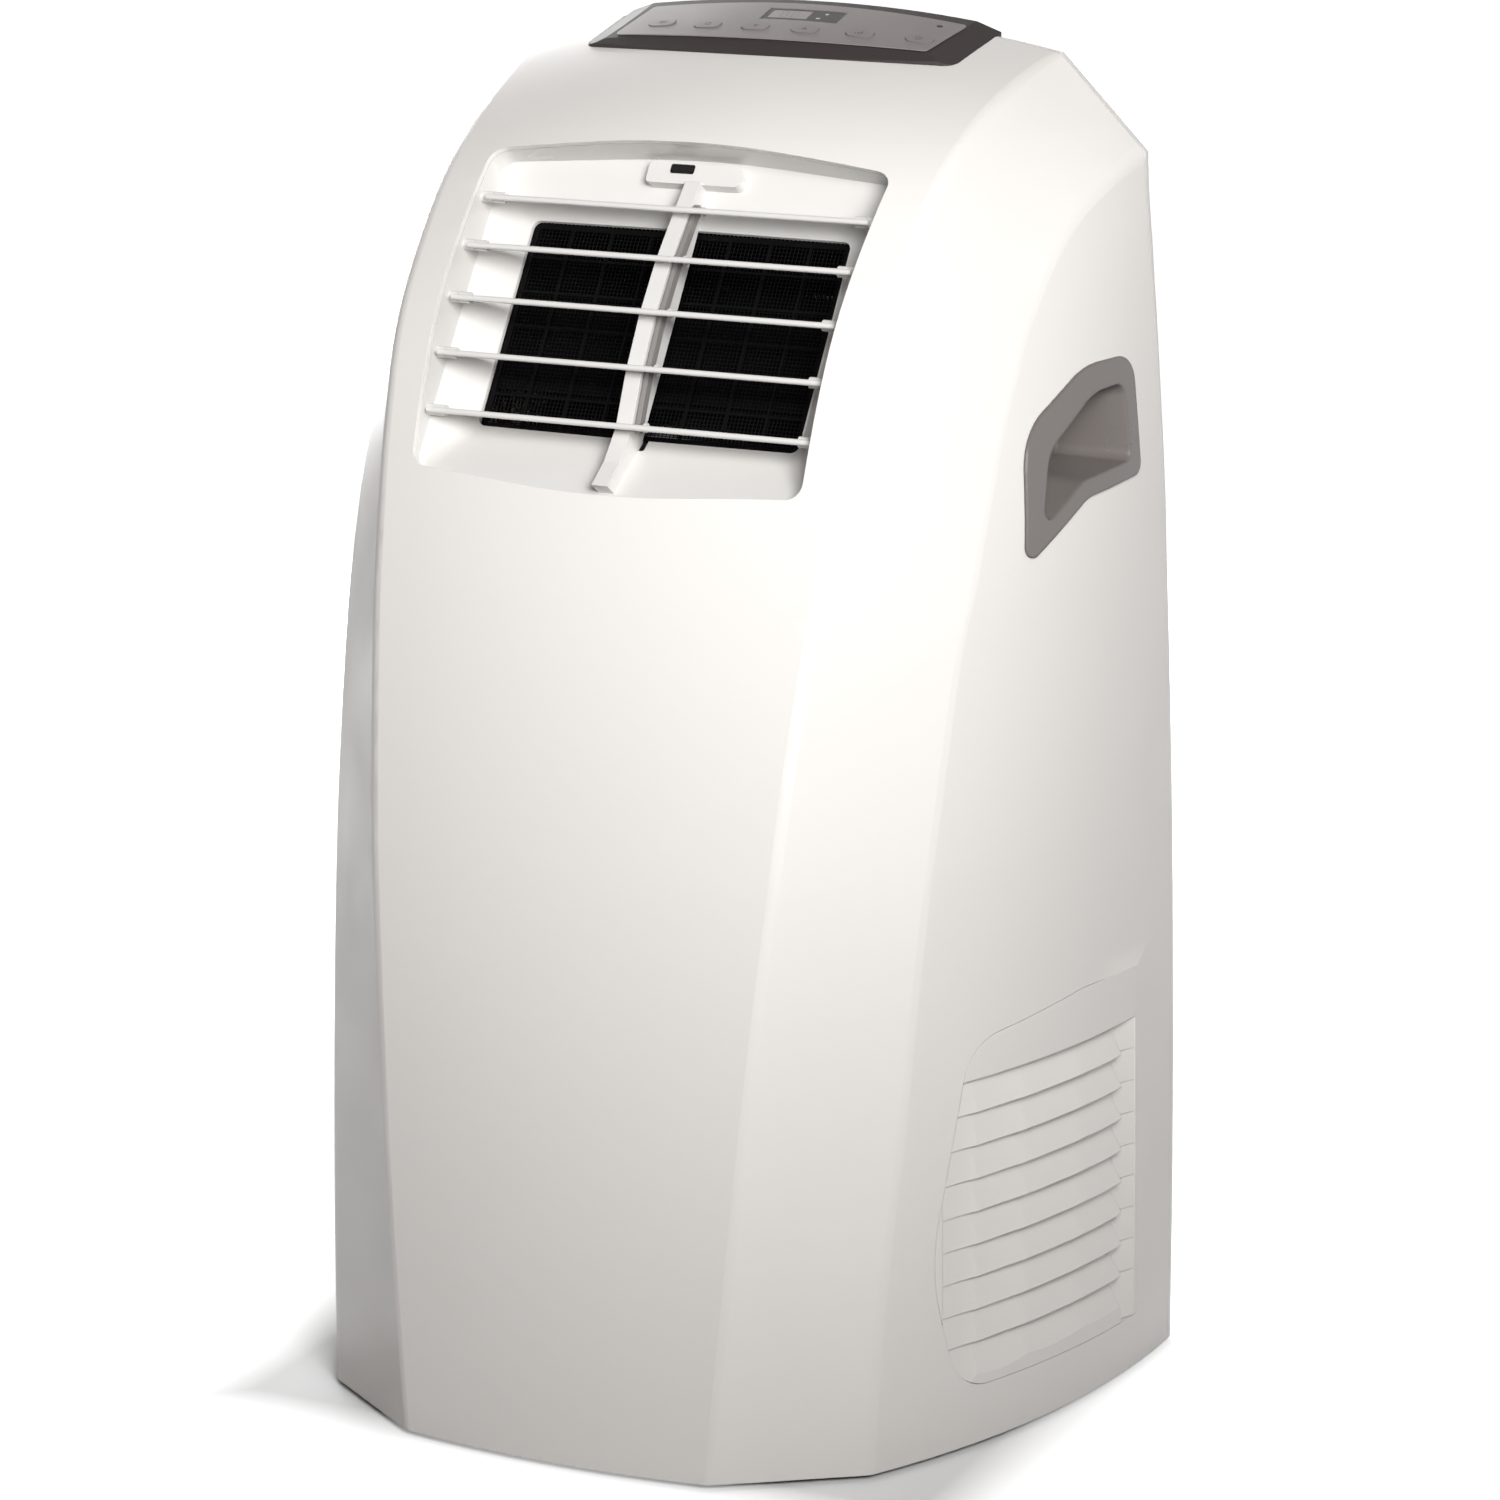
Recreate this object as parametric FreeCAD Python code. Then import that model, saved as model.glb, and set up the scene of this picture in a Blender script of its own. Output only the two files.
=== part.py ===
"""Portable air conditioner: a floor-standing cabinet on hidden castors that cools a room and blows
its waste heat out through a hose collar at the back.

Frame: millimetres, +Z up, the front of the cabinet faces -Y, +X is to the right of someone who
looks at the front.  The origin is on the floor, under the middle of the machine's bounding box.
Every sub-part is written to parts/NODE.step.
"""

import FreeCAD
import Part
import math
import os

V = FreeCAD.Vector

os.makedirs("parts", exist_ok=True)

# ---------------------------------------------------------------------------------------------
# Driving dimensions of the cabinet
# ---------------------------------------------------------------------------------------------
half_width = 215.0          # widest half width, at the back of the floor line
rear_y = 140.0              # flat back of the cabinet
skirt_z = 3.0               # the cabinet wall stops this far above the floor
wall = 3.0                  # moulded wall of the cabinet
fit = 0.3                   # gap between pieces that are set into or against one another
running = 0.05              # radial clearance of a shaft or pin in its hole
seam_y = 126.0              # the rear cover starts here
rear_corner_radius = 12.0
side_plan_radius = 465.0    # bow of each side, seen from above
side_square_y = 124.4       # where the sides run straight back at the floor
crown_axis_offset = 242.3   # distance of the crown axis from the origin, down and back
crown_tilt = math.radians(45)  # the front and the top share one crown, turned about this tilted axis
crease_radius = 9.0         # soft edge between the front and each bevel
shoulder_radius = 14.0      # soft edge between each bevel and the side
side_top_z = 760.0          # the sides' cutting face ends above the cabinet
bevel_overrun = 40.0        # the bevel's cutting face runs this far past both of its edges

# Middle section of the front and top: (y, z, half width of the front face there).
front_stations = [
    (-166.0, -40.0, 80.0), (-162.3, 87.0, 90.8), (-157.8, 167.0, 97.4), (-151.0, 247.0, 104.0),
    (-141.2, 327.6, 110.5), (-126.8, 408.0, 116.5), (-117.2, 448.0, 119.6), (-105.3, 488.0, 123.0),
    (-90.6, 528.3, 126.4), (-69.6, 568.6, 129.6), (-35.7, 609.0, 132.0), (-13.8, 629.2, 132.8),
    (16.4, 649.3, 133.8), (63.0, 670.0, 136.5), (105.0, 683.0, 141.0), (128.0, 689.3, 151.0),
    (160.0, 696.5, 167.0),
]
# Sides, at the height where the same bevel station ends:
# (z, lean towards the middle, shift of the bow to the back, y of the shoulder).
side_stations = [
    (-50.0, 0.1, 0.0, -113.0), (75.0, 0.3, 0.0, -107.5), (155.0, 1.4, 0.0, -97.0), (232.0, 3.2, 0.0, -87.0),
    (310.0, 5.7, 0.5, -74.5), (388.0, 9.1, 3.0, -57.5), (420.0, 10.6, 5.0, -47.2), (455.0, 12.2, 10.0, -34.0),
    (485.0, 14.0, 17.0, -21.0), (512.0, 15.6, 27.0, -7.0), (545.0, 17.0, 43.0, 13.5), (563.0, 17.5, 54.0, 28.5),
    (582.0, 17.5, 66.0, 45.0), (606.0, 16.5, 86.0, 76.0), (624.0, 13.5, 105.0, 115.0), (631.0, 12.0, 113.0, 143.0),
    (640.0, 10.0, 124.0, 185.0),
]


def save(node, shape):
    """Writes one named sub-part."""
    shape.exportStep("parts/" + node + ".step")


def box(x0, x1, y0, y1, z0, z1):
    """A block between two corners."""
    return Part.makeBox(x1 - x0, y1 - y0, z1 - z0, V(x0, y0, z0))


def fused(shapes):
    """All the shapes as one."""
    return shapes[0].multiFuse(shapes[1:]).removeSplitter()


def rod(start, end, radius):
    """A round bar between two points."""
    return Part.makeCylinder(radius, (end - start).Length, start, end - start)


def tube(start, end, outer, inner):
    """A round tube between two points."""
    return rod(start, end, outer).cut(rod(start, end, inner))


def rounded_wire(corners, place):
    """A closed outline through (a, b, radius) corners, each rounded, put in space by place(a, b)."""
    count = len(corners)
    edges, ends = [], []
    for i in range(count):
        corner = V(*corners[i][:2])
        before, after = V(*corners[i - 1][:2]) - corner, V(*corners[(i + 1) % count][:2]) - corner
        half = before.getAngle(after) / 2
        reach = corners[i][2] / math.tan(half)
        bisector = (before.normalize() + after.normalize()).normalize()
        nearest = corner + bisector * (corners[i][2] / math.sin(half) - corners[i][2])
        ends.append([corner + before * reach, nearest, corner + after * reach])
    for i in range(count):
        start, nearest, end = [place(p.x, p.y) for p in ends[i]]
        edges.append(Part.Arc(start, nearest, end).toShape())
        following = ends[(i + 1) % count][0]
        edges.append(Part.LineSegment(end, place(following.x, following.y)).toShape())
    return Part.Wire(edges)


def offset_corners(corners, distance):
    """The same outline moved outwards by a distance; its corners run counter-clockwise."""
    count = len(corners)
    moved = []
    for i in range(count):
        here, radius = V(*corners[i][:2]), corners[i][2]
        into = (here - V(*corners[i - 1][:2])).normalize()
        out = (V(*corners[(i + 1) % count][:2]) - here).normalize()
        normals = V(into.y, -into.x), V(out.y, -out.x)
        shift = (normals[0] + normals[1]) * (distance / (1 + normals[0].dot(normals[1])))
        moved.append((here.x + shift.x, here.y + shift.y, max(radius + distance, 0.8)))
    return moved


def prism(corners, place, along):
    """A straight block with a rounded outline."""
    return Part.Face(rounded_wire(corners, place)).extrude(along)


def mirrored(shape):
    """The same shape on the other side of the cabinet's middle."""
    return shape.mirror(V(0, 0, 0), V(1, 0, 0))


def spline(points):
    """A smooth curve through the points."""
    curve = Part.BSplineCurve()
    curve.interpolate(points)
    return curve


# ---------------------------------------------------------------------------------------------
# The cabinet's outer form
# ---------------------------------------------------------------------------------------------
crown_in = V(0, math.sin(crown_tilt), -math.cos(crown_tilt))    # from the surface towards the axis
crown_axis = V(0, math.cos(crown_tilt), math.sin(crown_tilt))
crown_foot = crown_in * crown_axis_offset                       # a point on the crown axis


def on_front(y, z, x):
    """The point of the front surface that the crown carries from the middle section out to x."""
    middle = V(0, y, z)
    radius = crown_axis_offset - middle.dot(crown_in)
    return middle + crown_in * (radius - math.sqrt(radius ** 2 - x ** 2)) + V(x, 0, 0)


def side_centre(lean, shift, z):
    """Centre of the side's bow at one height."""
    return V(half_width - side_plan_radius - lean, side_square_y + shift, z)


def on_side(z, lean, shift, y):
    """The point of the right-hand side at this height and depth."""
    centre = side_centre(lean, shift, z)
    return V(centre.x + math.sqrt(side_plan_radius ** 2 - (y - centre.y) ** 2), y, z)


def profile_curve(inset):
    """The middle section of the front and top, moved inwards by inset."""
    curve = spline([V(0, y, z) for y, z, _ in front_stations])
    if inset == 0:
        return curve
    moved = []
    for y, z, _ in front_stations:
        along = curve.tangent(curve.parameter(V(0, y, z)))[0]
        moved.append(V(0, y, z) + V(0, along.z, -along.y) * inset)
    return spline(moved)


def crowned(curve, sweep):
    """The solid under a middle section, turned about the crown axis by sweep degrees each way."""
    start, end = curve.StartPoint, curve.EndPoint
    hub = 20.0                  # the turned solid stays this far from its own axis
    reach = lambda p: p + crown_in * (crown_axis_offset - hub - p.dot(crown_in))
    face = Part.Face(Part.Wire([
        curve.toShape(),
        Part.LineSegment(end, reach(end)).toShape(),
        Part.LineSegment(reach(end), reach(start)).toShape(),
        Part.LineSegment(reach(start), start).toShape(),
    ]))
    face.rotate(crown_foot, crown_axis, -sweep)
    return face.revolve(crown_foot, crown_axis, 2 * sweep)


def crown_top(inset):
    """The middle of the top as a solid, with its outer face moved inwards by inset."""
    curve = profile_curve(inset)
    start = curve.parameter(V(0, *front_stations[10][:2]))
    curve.segment(start, curve.LastParameter)
    return crowned(curve, 20.0).toNurbs().common(box(-150.0, 150.0, -60.0, rear_y, 560.0, 760.0))


def side_block(inset):
    """Everything inside the right-hand side: its bow, carried up a spine that leans in and back."""
    top = (side_top_z,) + side_stations[-1][1:3]
    spine = spline([V(-lean, shift, z) for z, lean, shift in [row[:3] for row in side_stations] + [top]])
    circle = Part.Circle(side_centre(0, 0, 0), V(0, 0, 1), side_plan_radius - inset)
    bow = Part.ArcOfCircle(circle, math.radians(-62), math.radians(20)).toBSpline()
    poles = [[across + up for up in spine.getPoles()] for across in bow.getPoles()]
    weights = [[weight] * len(poles[0]) for weight in bow.getWeights()]
    face = Part.BSplineSurface()
    face.buildFromPolesMultsKnots(
        poles, bow.getMultiplicities(), spine.getMultiplicities(), bow.getKnots(), spine.getKnots(),
        False, False, bow.Degree, spine.Degree, weights)
    return face.toShape().extrude(V(-3 * half_width, 0, 0))


def bevel_waste(inset):
    """What the right-hand bevel cuts away: its ruled face, pushed out of the cabinet."""
    inner, outer = [], []
    rails = [(on_front(y, z, x), on_side(*side)) for (y, z, x), side in zip(front_stations, side_stations)]
    for i, (front, side) in enumerate(rails):
        across = (side - front).normalize()
        after, before = rails[min(i + 1, len(rails) - 1)], rails[max(i - 1, 0)]
        along = (after[0] + after[1] - before[0] - before[1]).normalize()
        sunk = across.cross(along).normalize() * -inset
        inner.append(front - across * bevel_overrun + sunk)
        outer.append(side + across * bevel_overrun + sunk)
    steps = [float(i) for i in range(len(rails))]
    edges = []
    for points in (inner, outer):
        curve = Part.BSplineCurve()
        curve.interpolate(Points=points, Parameters=steps)
        edges.append(curve.toShape())
    outwards = V(0.62, -0.62, 0.48) * 260
    waste = Part.makeRuledSurface(edges[0], edges[1]).extrude(outwards)
    return waste


forms = {}                  # forms already made, by inset and bottom, because many pieces share them


def form(inset=0.0, bottom=skirt_z):
    """The cabinet as one solid, with every outer face moved inwards by inset."""
    if (inset, bottom) not in forms:
        forms[inset, bottom] = make_form(inset, bottom)
    return forms[inset, bottom]


def make_form(inset, bottom):
    body = crowned(profile_curve(inset), 75.0)
    right = side_block(inset)
    body = body.common(right).common(mirrored(right))
    waste = bevel_waste(inset)
    body = body.cut(waste).cut(mirrored(waste))
    reach = half_width + 10
    return body.common(box(-reach, reach, -200, rear_y - inset, bottom, side_top_z)).Solids[0]


def long_edges(body, front_ones):
    """The two creases beside the front face, or the two shoulders beside the sides."""
    found = []
    for edge in body.Edges:
        bounds = edge.BoundBox
        if bounds.ZLength > 400 and bounds.YMin < 0:
            foot = min((vertex.Point for vertex in edge.Vertexes), key=lambda p: p.z)
            if (abs(foot.x) < (front_stations[0][2] + half_width) / 2 - 20) == front_ones:
                found.append(edge)
    return found


def creased(inset=0.0, bottom=skirt_z):
    """The form with its creases and shoulders softened."""
    body = form(inset, bottom)
    body = body.makeFillet(crease_radius, long_edges(body, True))
    return body.makeFillet(shoulder_radius, long_edges(body, False))


def round_backed(inset=0.0, bottom=skirt_z):
    """The form with the corners round its back softened."""
    body = form(inset, bottom)
    corners = [edge for edge in body.Edges
               if edge.BoundBox.YMin > rear_y - inset - 1 and edge.BoundBox.ZMax > bottom + 1]
    return body.makeFillet(rear_corner_radius - inset, corners)


def slab(y0, y1, z0=-60.0, z1=760.0):
    """A block across the whole width of the cabinet."""
    return box(-half_width - 20, half_width + 20, y0, y1, z0, z1)


# ---------------------------------------------------------------------------------------------
# Air outlet: a funnel in the front, five blades, the rib and the link that join them
# ---------------------------------------------------------------------------------------------
outlet_tilt = 56.4          # degrees between the mouth and the floor
outlet_centre = V(0, -32.25, 545.75)    # middle of the inner opening
outlet_place = FreeCAD.Placement(outlet_centre, FreeCAD.Rotation(V(1, 0, 0), outlet_tilt))
outlet_up, outlet_out = outlet_place.Rotation.multVec(V(0, 1, 0)), outlet_place.Rotation.multVec(V(0, 0, 1))
mouth_level = 11.0          # the funnel's walls turn square to the mouth at this height
mouth_fall = 0.065          # and that height falls by this much per millimetre up the mouth
inner_half_width, inner_half_height = 88.0, 57.0
funnel_wall = 2.4
blade_count = 5
blade_half_length = 104.2   # half length of the blade's front edge
ear_half_length = 101.7     # behind it the blade is shorter, to clear the bearing bosses
ear_strip = 2.8             # depth of the long front edge
blade_chord = 20.0
blade_nose = 1.5            # radius of the blade's front edge
blade_tail = 0.7            # half thickness at the back edge
blade_dip = 10.0            # degrees that the chord dips towards the back
blade_pitch = 29.3
blade_row_bow = 260.0       # the row of blades follows the bulge of the front, with this radius
blade_row_level = 30.4      # height of the middle blade's tip above the inner opening
blade_row_shift = -1.6
pivot_back = 6.0            # pivot axis behind the blade's tip
pivot_radius = 1.5
ear_radius = 2.8
pin_length = 5.2
ear_length = 6.0
tail_gap = 3.2              # between a blade's tail and the funnel, for the swing
link_back = 8.0             # link pin behind the pivot
link_pin_radius = 1.2
rib_half_width = 4.25
rib_gap = 3.6               # the rib's front stays this far behind the pivots
link_x = 5.2
link_thick = 2.4
link_width = 5.0
notch_right = 9.2
bracket_half_width = 27.0
bracket_level = 9.6         # front of the receiver's bracket above the inner opening

mouth_corners = [(-105.0, -88.0, 9.0), (0.0, -99.5, 420.0), (105.0, -88.0, 9.0),
                 (109.5, 84.5, 9.0), (0.0, 94.0, 560.0), (-109.5, 84.5, 9.0)]
inner_corners = [(-inner_half_width, -inner_half_height, 5.0), (0.0, -inner_half_height - 0.5, 420.0),
                 (inner_half_width, -inner_half_height, 5.0), (inner_half_width, inner_half_height, 5.0),
                 (0.0, inner_half_height + 0.5, 560.0), (-inner_half_width, inner_half_height, 5.0)]


def in_outlet(x, u, n):
    """A point given across, up along the mouth, and out of the mouth."""
    return outlet_place.multVec(V(x, u, n))


def at_level(n):
    """Puts an outline into the outlet at one height."""
    return lambda x, u: in_outlet(x, u, n)


def at_mouth(x, u):
    """Puts an outline onto the slanting plane where the funnel's taper ends."""
    return in_outlet(x, u, mouth_level - mouth_fall * u)


def mouth_out(length):
    """A straight run out of the outlet."""
    return outlet_place.Rotation.multVec(V(0, 0, length))


def funnel(grow):
    """The funnel's hollow, moved outwards by grow: tapered inside, straight at the mouth."""
    mouth = offset_corners(mouth_corners, grow)
    inner = offset_corners(inner_corners, grow)
    taper = Part.makeLoft([rounded_wire(inner, at_level(0)), rounded_wire(mouth, at_mouth)], True, True)
    return taper.fuse(prism(mouth, at_mouth, mouth_out(60.0)))


def wall_at(up, out):
    """Half width of the funnel's hollow at one place of the outlet."""
    low, high = mouth_corners[2], mouth_corners[3]
    mouth = low[0] + (high[0] - low[0]) * (up - low[1]) / (high[1] - low[1])
    share = min(1.0, out / (mouth_level - mouth_fall * up))
    return inner_half_width + (mouth - inner_half_width) * share


def blade_tip(index):
    """Front edge of one blade, as (up, out) in the outlet: the row follows an arc."""
    angle = (2 - index) * blade_pitch / blade_row_bow
    return (blade_row_shift + blade_row_bow * math.sin(angle),
            blade_row_level - blade_row_bow * (1 - math.cos(angle)))


def blade_points(index):
    """Tip, direction of the chord towards the back, and the direction up from the chord."""
    up, out = blade_tip(index)
    dip = math.radians(blade_dip)
    return in_outlet(0, up, out), V(0, math.cos(dip), -math.sin(dip)), V(0, math.sin(dip), math.cos(dip))


def pivot_of(index):
    tip, back, _ = blade_points(index)
    return tip + back * pivot_back


def link_pin_of(index):
    tip, back, _ = blade_points(index)
    return tip + back * (pivot_back + link_back)


def blade_ends(index):
    """What is cut from a blade's ends: behind the front edge it is shorter, and its tail clears the funnel."""
    tip, back, up = blade_points(index)
    tail_up, tail_out = blade_tip(index)
    tail_up += blade_chord * back.dot(outlet_up)
    tail_out += blade_chord * back.dot(outlet_out)
    tail_half = min(ear_half_length, wall_at(tail_up, tail_out) - tail_gap)
    outer = blade_half_length + 2.0
    ends = []
    for side in (-1, 1):
        outline = [(outer, ear_strip), (ear_half_length, ear_strip), (ear_half_length, pivot_back),
                   (tail_half, blade_chord + 0.2), (outer, blade_chord + 0.2)]
        corners = [tip + V(side * x, 0, 0) + back * depth - up * 5.0 for x, depth in outline]
        ends.append(Part.Face(Part.makePolygon(corners + corners[:1])).extrude(up * 10.0))
    return fused(ends)


def louver_blade(index):
    """One straight blade: rounded nose, thin tail, ears on its pivots and a notch for the rib."""
    tip, back, up = blade_points(index)
    nose = tip + back * blade_nose
    tail = tip + back * blade_chord
    top, bottom = nose + up * blade_nose, nose - up * blade_nose
    section = Part.Wire([
        Part.Arc(bottom, tip, top).toShape(),
        Part.LineSegment(top, tail + up * blade_tail).toShape(),
        Part.LineSegment(tail + up * blade_tail, tail - up * blade_tail).toShape(),
        Part.LineSegment(tail - up * blade_tail, bottom).toShape(),
    ])
    bar = Part.Face(section)
    bar.translate(V(-blade_half_length, 0, 0))
    bar = bar.extrude(V(2 * blade_half_length, 0, 0)).cut(blade_ends(index))
    pivot = pivot_of(index)
    notch_front = pivot + back * 1.2
    notch_low = min(-rib_half_width - 1.0, 0)
    notch = Part.Face(Part.makePolygon([
        notch_front + up * 4, notch_front - up * 4, tail + back - up * 4, tail + back + up * 4,
        notch_front + up * 4])).extrude(V(notch_right - notch_low, 0, 0))
    notch.translate(V(notch_low, 0, 0))
    across = V(1, 0, 0)
    pieces = [bar.cut(notch)]
    for side in (-1, 1):
        end = pivot + across * (side * ear_half_length)
        pieces.append(rod(end - across * (side * ear_length), end, ear_radius))
        pieces.append(rod(end, end + across * (side * pin_length), pivot_radius))
    pin = link_pin_of(index)
    pieces.append(rod(pin + across * (link_x - 0.5), pin + across * notch_right, link_pin_radius))
    pieces.append(rod(pin + across * notch_right, pin + across * (notch_right + 1.6), ear_radius - 0.4))
    return fused(pieces)


def louver_link():
    """The bar that ties the blades together, with an eye round each blade's pin."""
    across = V(1, 0, 0)
    pieces, holes = [], []
    for index in range(blade_count):
        pin = link_pin_of(index) + across * link_x
        pieces.append(rod(pin, pin + across * link_thick, link_width / 2 + 0.6))
        holes.append(rod(pin - across, pin + across * (link_thick + 1), link_pin_radius + running))
        if index:
            above = link_pin_of(index - 1) + across * link_x
            along = (above - pin).normalize()
            side = V(0, -along.z, along.y) * (link_width / 2)
            pieces.append(Part.Face(Part.makePolygon([
                pin - side, pin + side, above + side, above - side, pin - side])).extrude(across * link_thick))
    return fused(pieces).cut(fused(holes))


def rib_front(index):
    """Front of the centre rib beside one blade, as (up, out) in the outlet."""
    up, out = blade_tip(index)
    return up + 2.4, out - pivot_back * 0.917 - rib_gap


def louver_frame():
    """The funnel behind the front, with its centre rib, receiver bracket and blade bearings."""
    skin = form(wall + fit, bottom=300.0)
    body = funnel(funnel_wall).fuse(
        prism(offset_corners(inner_corners, funnel_wall), at_level(-funnel_wall), mouth_out(funnel_wall)))
    body = body.common(skin).cut(funnel(0))
    opening = offset_corners(inner_corners, -0.8)
    body = body.cut(prism(opening, at_level(-5.0), mouth_out(10.0)))
    # Centre rib: its front follows the pivots and flares out to the lower lip.
    front = [rib_front(index) for index in range(blade_count)]
    outline = [(78.0, 11.0)] + front + [(-76.0, 17.5), (-91.0, 23.5), (-91.0, 14.0), (-57.0, -1.0), (78.0, -1.0)]
    points = [in_outlet(-rib_half_width, up, out) for up, out in outline]
    rib = Part.Face(Part.makePolygon(points + points[:1])).extrude(V(2 * rib_half_width, 0, 0))
    # Receiver bracket on the upper wall, with the window's pocket in it.
    bracket = prism([(-bracket_half_width, 77.0, 2.0), (bracket_half_width, 77.0, 4.0),
                     (bracket_half_width - 4, 88.5, 4.0), (-bracket_half_width, 88.5, 2.0)],
                    at_level(-2.0), mouth_out(bracket_level + 2.0))
    inside = funnel(funnel_wall / 2).common(skin)
    body = body.fuse(rib.common(inside)).fuse(bracket.common(inside))
    body = body.cut(window_block(fit / 2))
    # Bearings: a boss on each side wall for every blade, and a clear slot for the link's foot.
    pockets, bosses, bores = [], [], []
    for index in range(blade_count):
        for side in (-1, 1):
            along = V(side, 0, 0)
            end = pivot_of(index) + along * (ear_half_length + fit)
            pockets.append(rod(end - along * 8.0, end, ear_radius + 0.6))
            bosses.append(rod(end, end + along * 14.0, ear_radius).common(inside))
            bores.append(rod(end - along * 1.0, end + along * pin_length, pivot_radius + running))
    body = body.cut(fused(pockets)).multiFuse(bosses).cut(fused(bores))
    slot = prism([(0.4, -63.0, 1.0), (7.4, -63.0, 1.0), (7.4, -50.0, 1.0), (0.4, -50.0, 1.0)],
                 at_level(-6.0), mouth_out(18.0))
    slot = slot.cut(rib)
    return body.cut(slot).removeSplitter()


window_corners = [(-14.6, 82.6, 1.0), (-1.8, 82.6, 1.0), (-1.8, 87.4, 1.0), (-14.6, 87.4, 1.0)]


def window_block(grow):
    """The dark window of the remote control's receiver."""
    return prism(offset_corners(window_corners, grow), at_level(bracket_level - 3.0 - grow), mouth_out(3.3))


def outlet_guard():
    """Black guard behind the inner opening: a frame with crossing bars."""
    low, high = -inner_half_height + 1.0, inner_half_height - 1.0
    edge = inner_half_width - 1.0
    level, thick, bar = -funnel_wall - fit - 1.6, 1.6, 1.4
    block = lambda x0, x1, u0, u1: Part.Face(Part.makePolygon([
        in_outlet(x0, u0, level), in_outlet(x1, u0, level), in_outlet(x1, u1, level),
        in_outlet(x0, u1, level), in_outlet(x0, u0, level)])).extrude(mouth_out(thick))
    pieces = [block(-edge, edge, low, low + 3), block(-edge, edge, high - 3, high),
              block(-edge, -edge + 3, low, high), block(edge - 3, edge, low, high)]
    uprights, rungs = 8, 6
    for i in range(1, uprights):
        x = -edge + 2 * edge * i / uprights
        pieces.append(block(x - bar / 2, x + bar / 2, low, high))
    for i in range(1, rungs):
        u = low + (high - low) * i / rungs
        pieces.append(block(-edge, edge, u - bar / 2, u + bar / 2))
    return fused(pieces)


# ---------------------------------------------------------------------------------------------
# Control panel on top: a sloping bezel, a light overlay, the display and six keys
# ---------------------------------------------------------------------------------------------
panel_front_radius = 335.0  # the bezel's front edge, seen from above
panel_front_y = 69.3
panel_rear_y = 133.5
panel_rise = 2.6            # height of the bezel's flat above the top
panel_border = 10.8         # width of its sloping border
overlay_thick = 0.5
bezel_sheet = 2.4           # thickness of the bezel's flat
key_seats = [(-65.0, 102.0), (-37.5, 97.5), (-10.0, 95.4), (17.5, 95.4), (47.0, 97.5), (78.0, 102.0)]
key_half_length, key_half_width = 7.4, 4.4
key_travel = 0.6
key_height = 5.0
panel_slope = 17.0          # degrees that the top rises towards the back there
side_fall = 0.12            # and its fall to each side, where the bezel's borders are
panel_corners = [(-103.0, 85.1, 9.0), (0.0, 54.6, panel_front_radius), (103.0, 85.1, 9.0),
                 (109.0, panel_rear_y, 1.0), (-99.0, panel_rear_y, 1.0)]
overlay_corners = [(-87.0, 88.4, 3.0), (0.0, 73.1, 480.0), (87.0, 88.4, 3.0), (94.0, 124.5, 2.0),
                   (0.0, 126.5, 560.0), (-82.0, 124.5, 2.0)]
display_x0, display_x1, display_y0, display_y1 = -12.5, 30.0, 104.7, 119.0


def upright(corners, z0=640.0, z1=720.0):
    """An upright block with a rounded outline seen from above."""
    return prism(corners, lambda x, y: V(x, y, z0), V(0, 0, z1 - z0))


def crown_layer(block, high, low):
    """The layer between two depths under the top (negative is above it), inside a block."""
    return block.common(crown_top(high)).cut(crown_top(low))


def display_block(grow):
    """An upright block round the display."""
    return box(display_x0 - grow, display_x1 + grow, display_y0 - grow, display_y1 + grow, 640.0, 720.0)


def border_limit():
    """Everything under the bezel's sloping border: a cone in front and a plane at each side."""
    edge = on_front(panel_front_y, height_at(panel_front_y), 0)
    slope = math.tan(math.radians(panel_slope)) + panel_rise / panel_border
    drop = 60.0
    height = panel_front_radius * slope + drop
    foot = V(0, panel_front_y + panel_front_radius, edge.z - drop)
    limit = Part.makeCone(panel_front_radius + drop / slope, 0.0, height, foot)
    for front, back in (panel_corners[0], panel_corners[4]), (panel_corners[2], panel_corners[3]):
        start, end = [on_front(y, height_at(y), x) for x, y, _ in (front, back)]
        inward = V(-math.copysign(1, start.x), 0, panel_rise / panel_border + side_fall)
        start, end = start - inward * 0.5 - (end - start), end - inward * 0.5 + (end - start)
        far = inward * 240.0
        plane = Part.Face(Part.makePolygon([start, end, end + far, start + far, start]))
        limit = limit.common(plane.extrude(V(0, 0, -220.0)))
    return limit


def height_at(y):
    """Height of the middle of the top at one depth."""
    upward = Part.LineSegment(V(0, y, 400.0), V(0, y, 900.0))
    return profile_curve(0).intersectCC(upward)[0].Z


def key_place(index):
    """Seat of one key: its middle on the overlay, and the direction that it is pressed in."""
    x, y = key_seats[index]
    row = y - 0.0008 * x * x
    middle = on_front(row, height_at(row), x)
    lean = math.radians(panel_slope)
    roll = math.asin(x / (crown_axis_offset - middle.dot(crown_in)))
    up = V(math.sin(roll), -math.sin(lean) * math.cos(roll), math.cos(lean) * math.cos(roll))
    return middle + up * (panel_rise + fit + overlay_thick), up


def oval(centre, up, grow, low, high):
    """An oval block about a key's middle."""
    turn = FreeCAD.Rotation(V(0, 0, 1), up)
    place = FreeCAD.Placement(centre, turn)
    length, width = key_half_length + grow, key_half_width + grow
    corners = [(-length, -width, width - 0.05), (length, -width, width - 0.05),
               (length, width, width - 0.05), (-length, width, width - 0.05)]
    return prism(corners, lambda a, b: place.multVec(V(a, b, low)), up * (high - low))


def panel_holes():
    """The keys' holes through the bezel and the overlay."""
    return [oval(*key_place(index), fit, -8.0, 4.0) for index in range(len(key_seats))]


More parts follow.
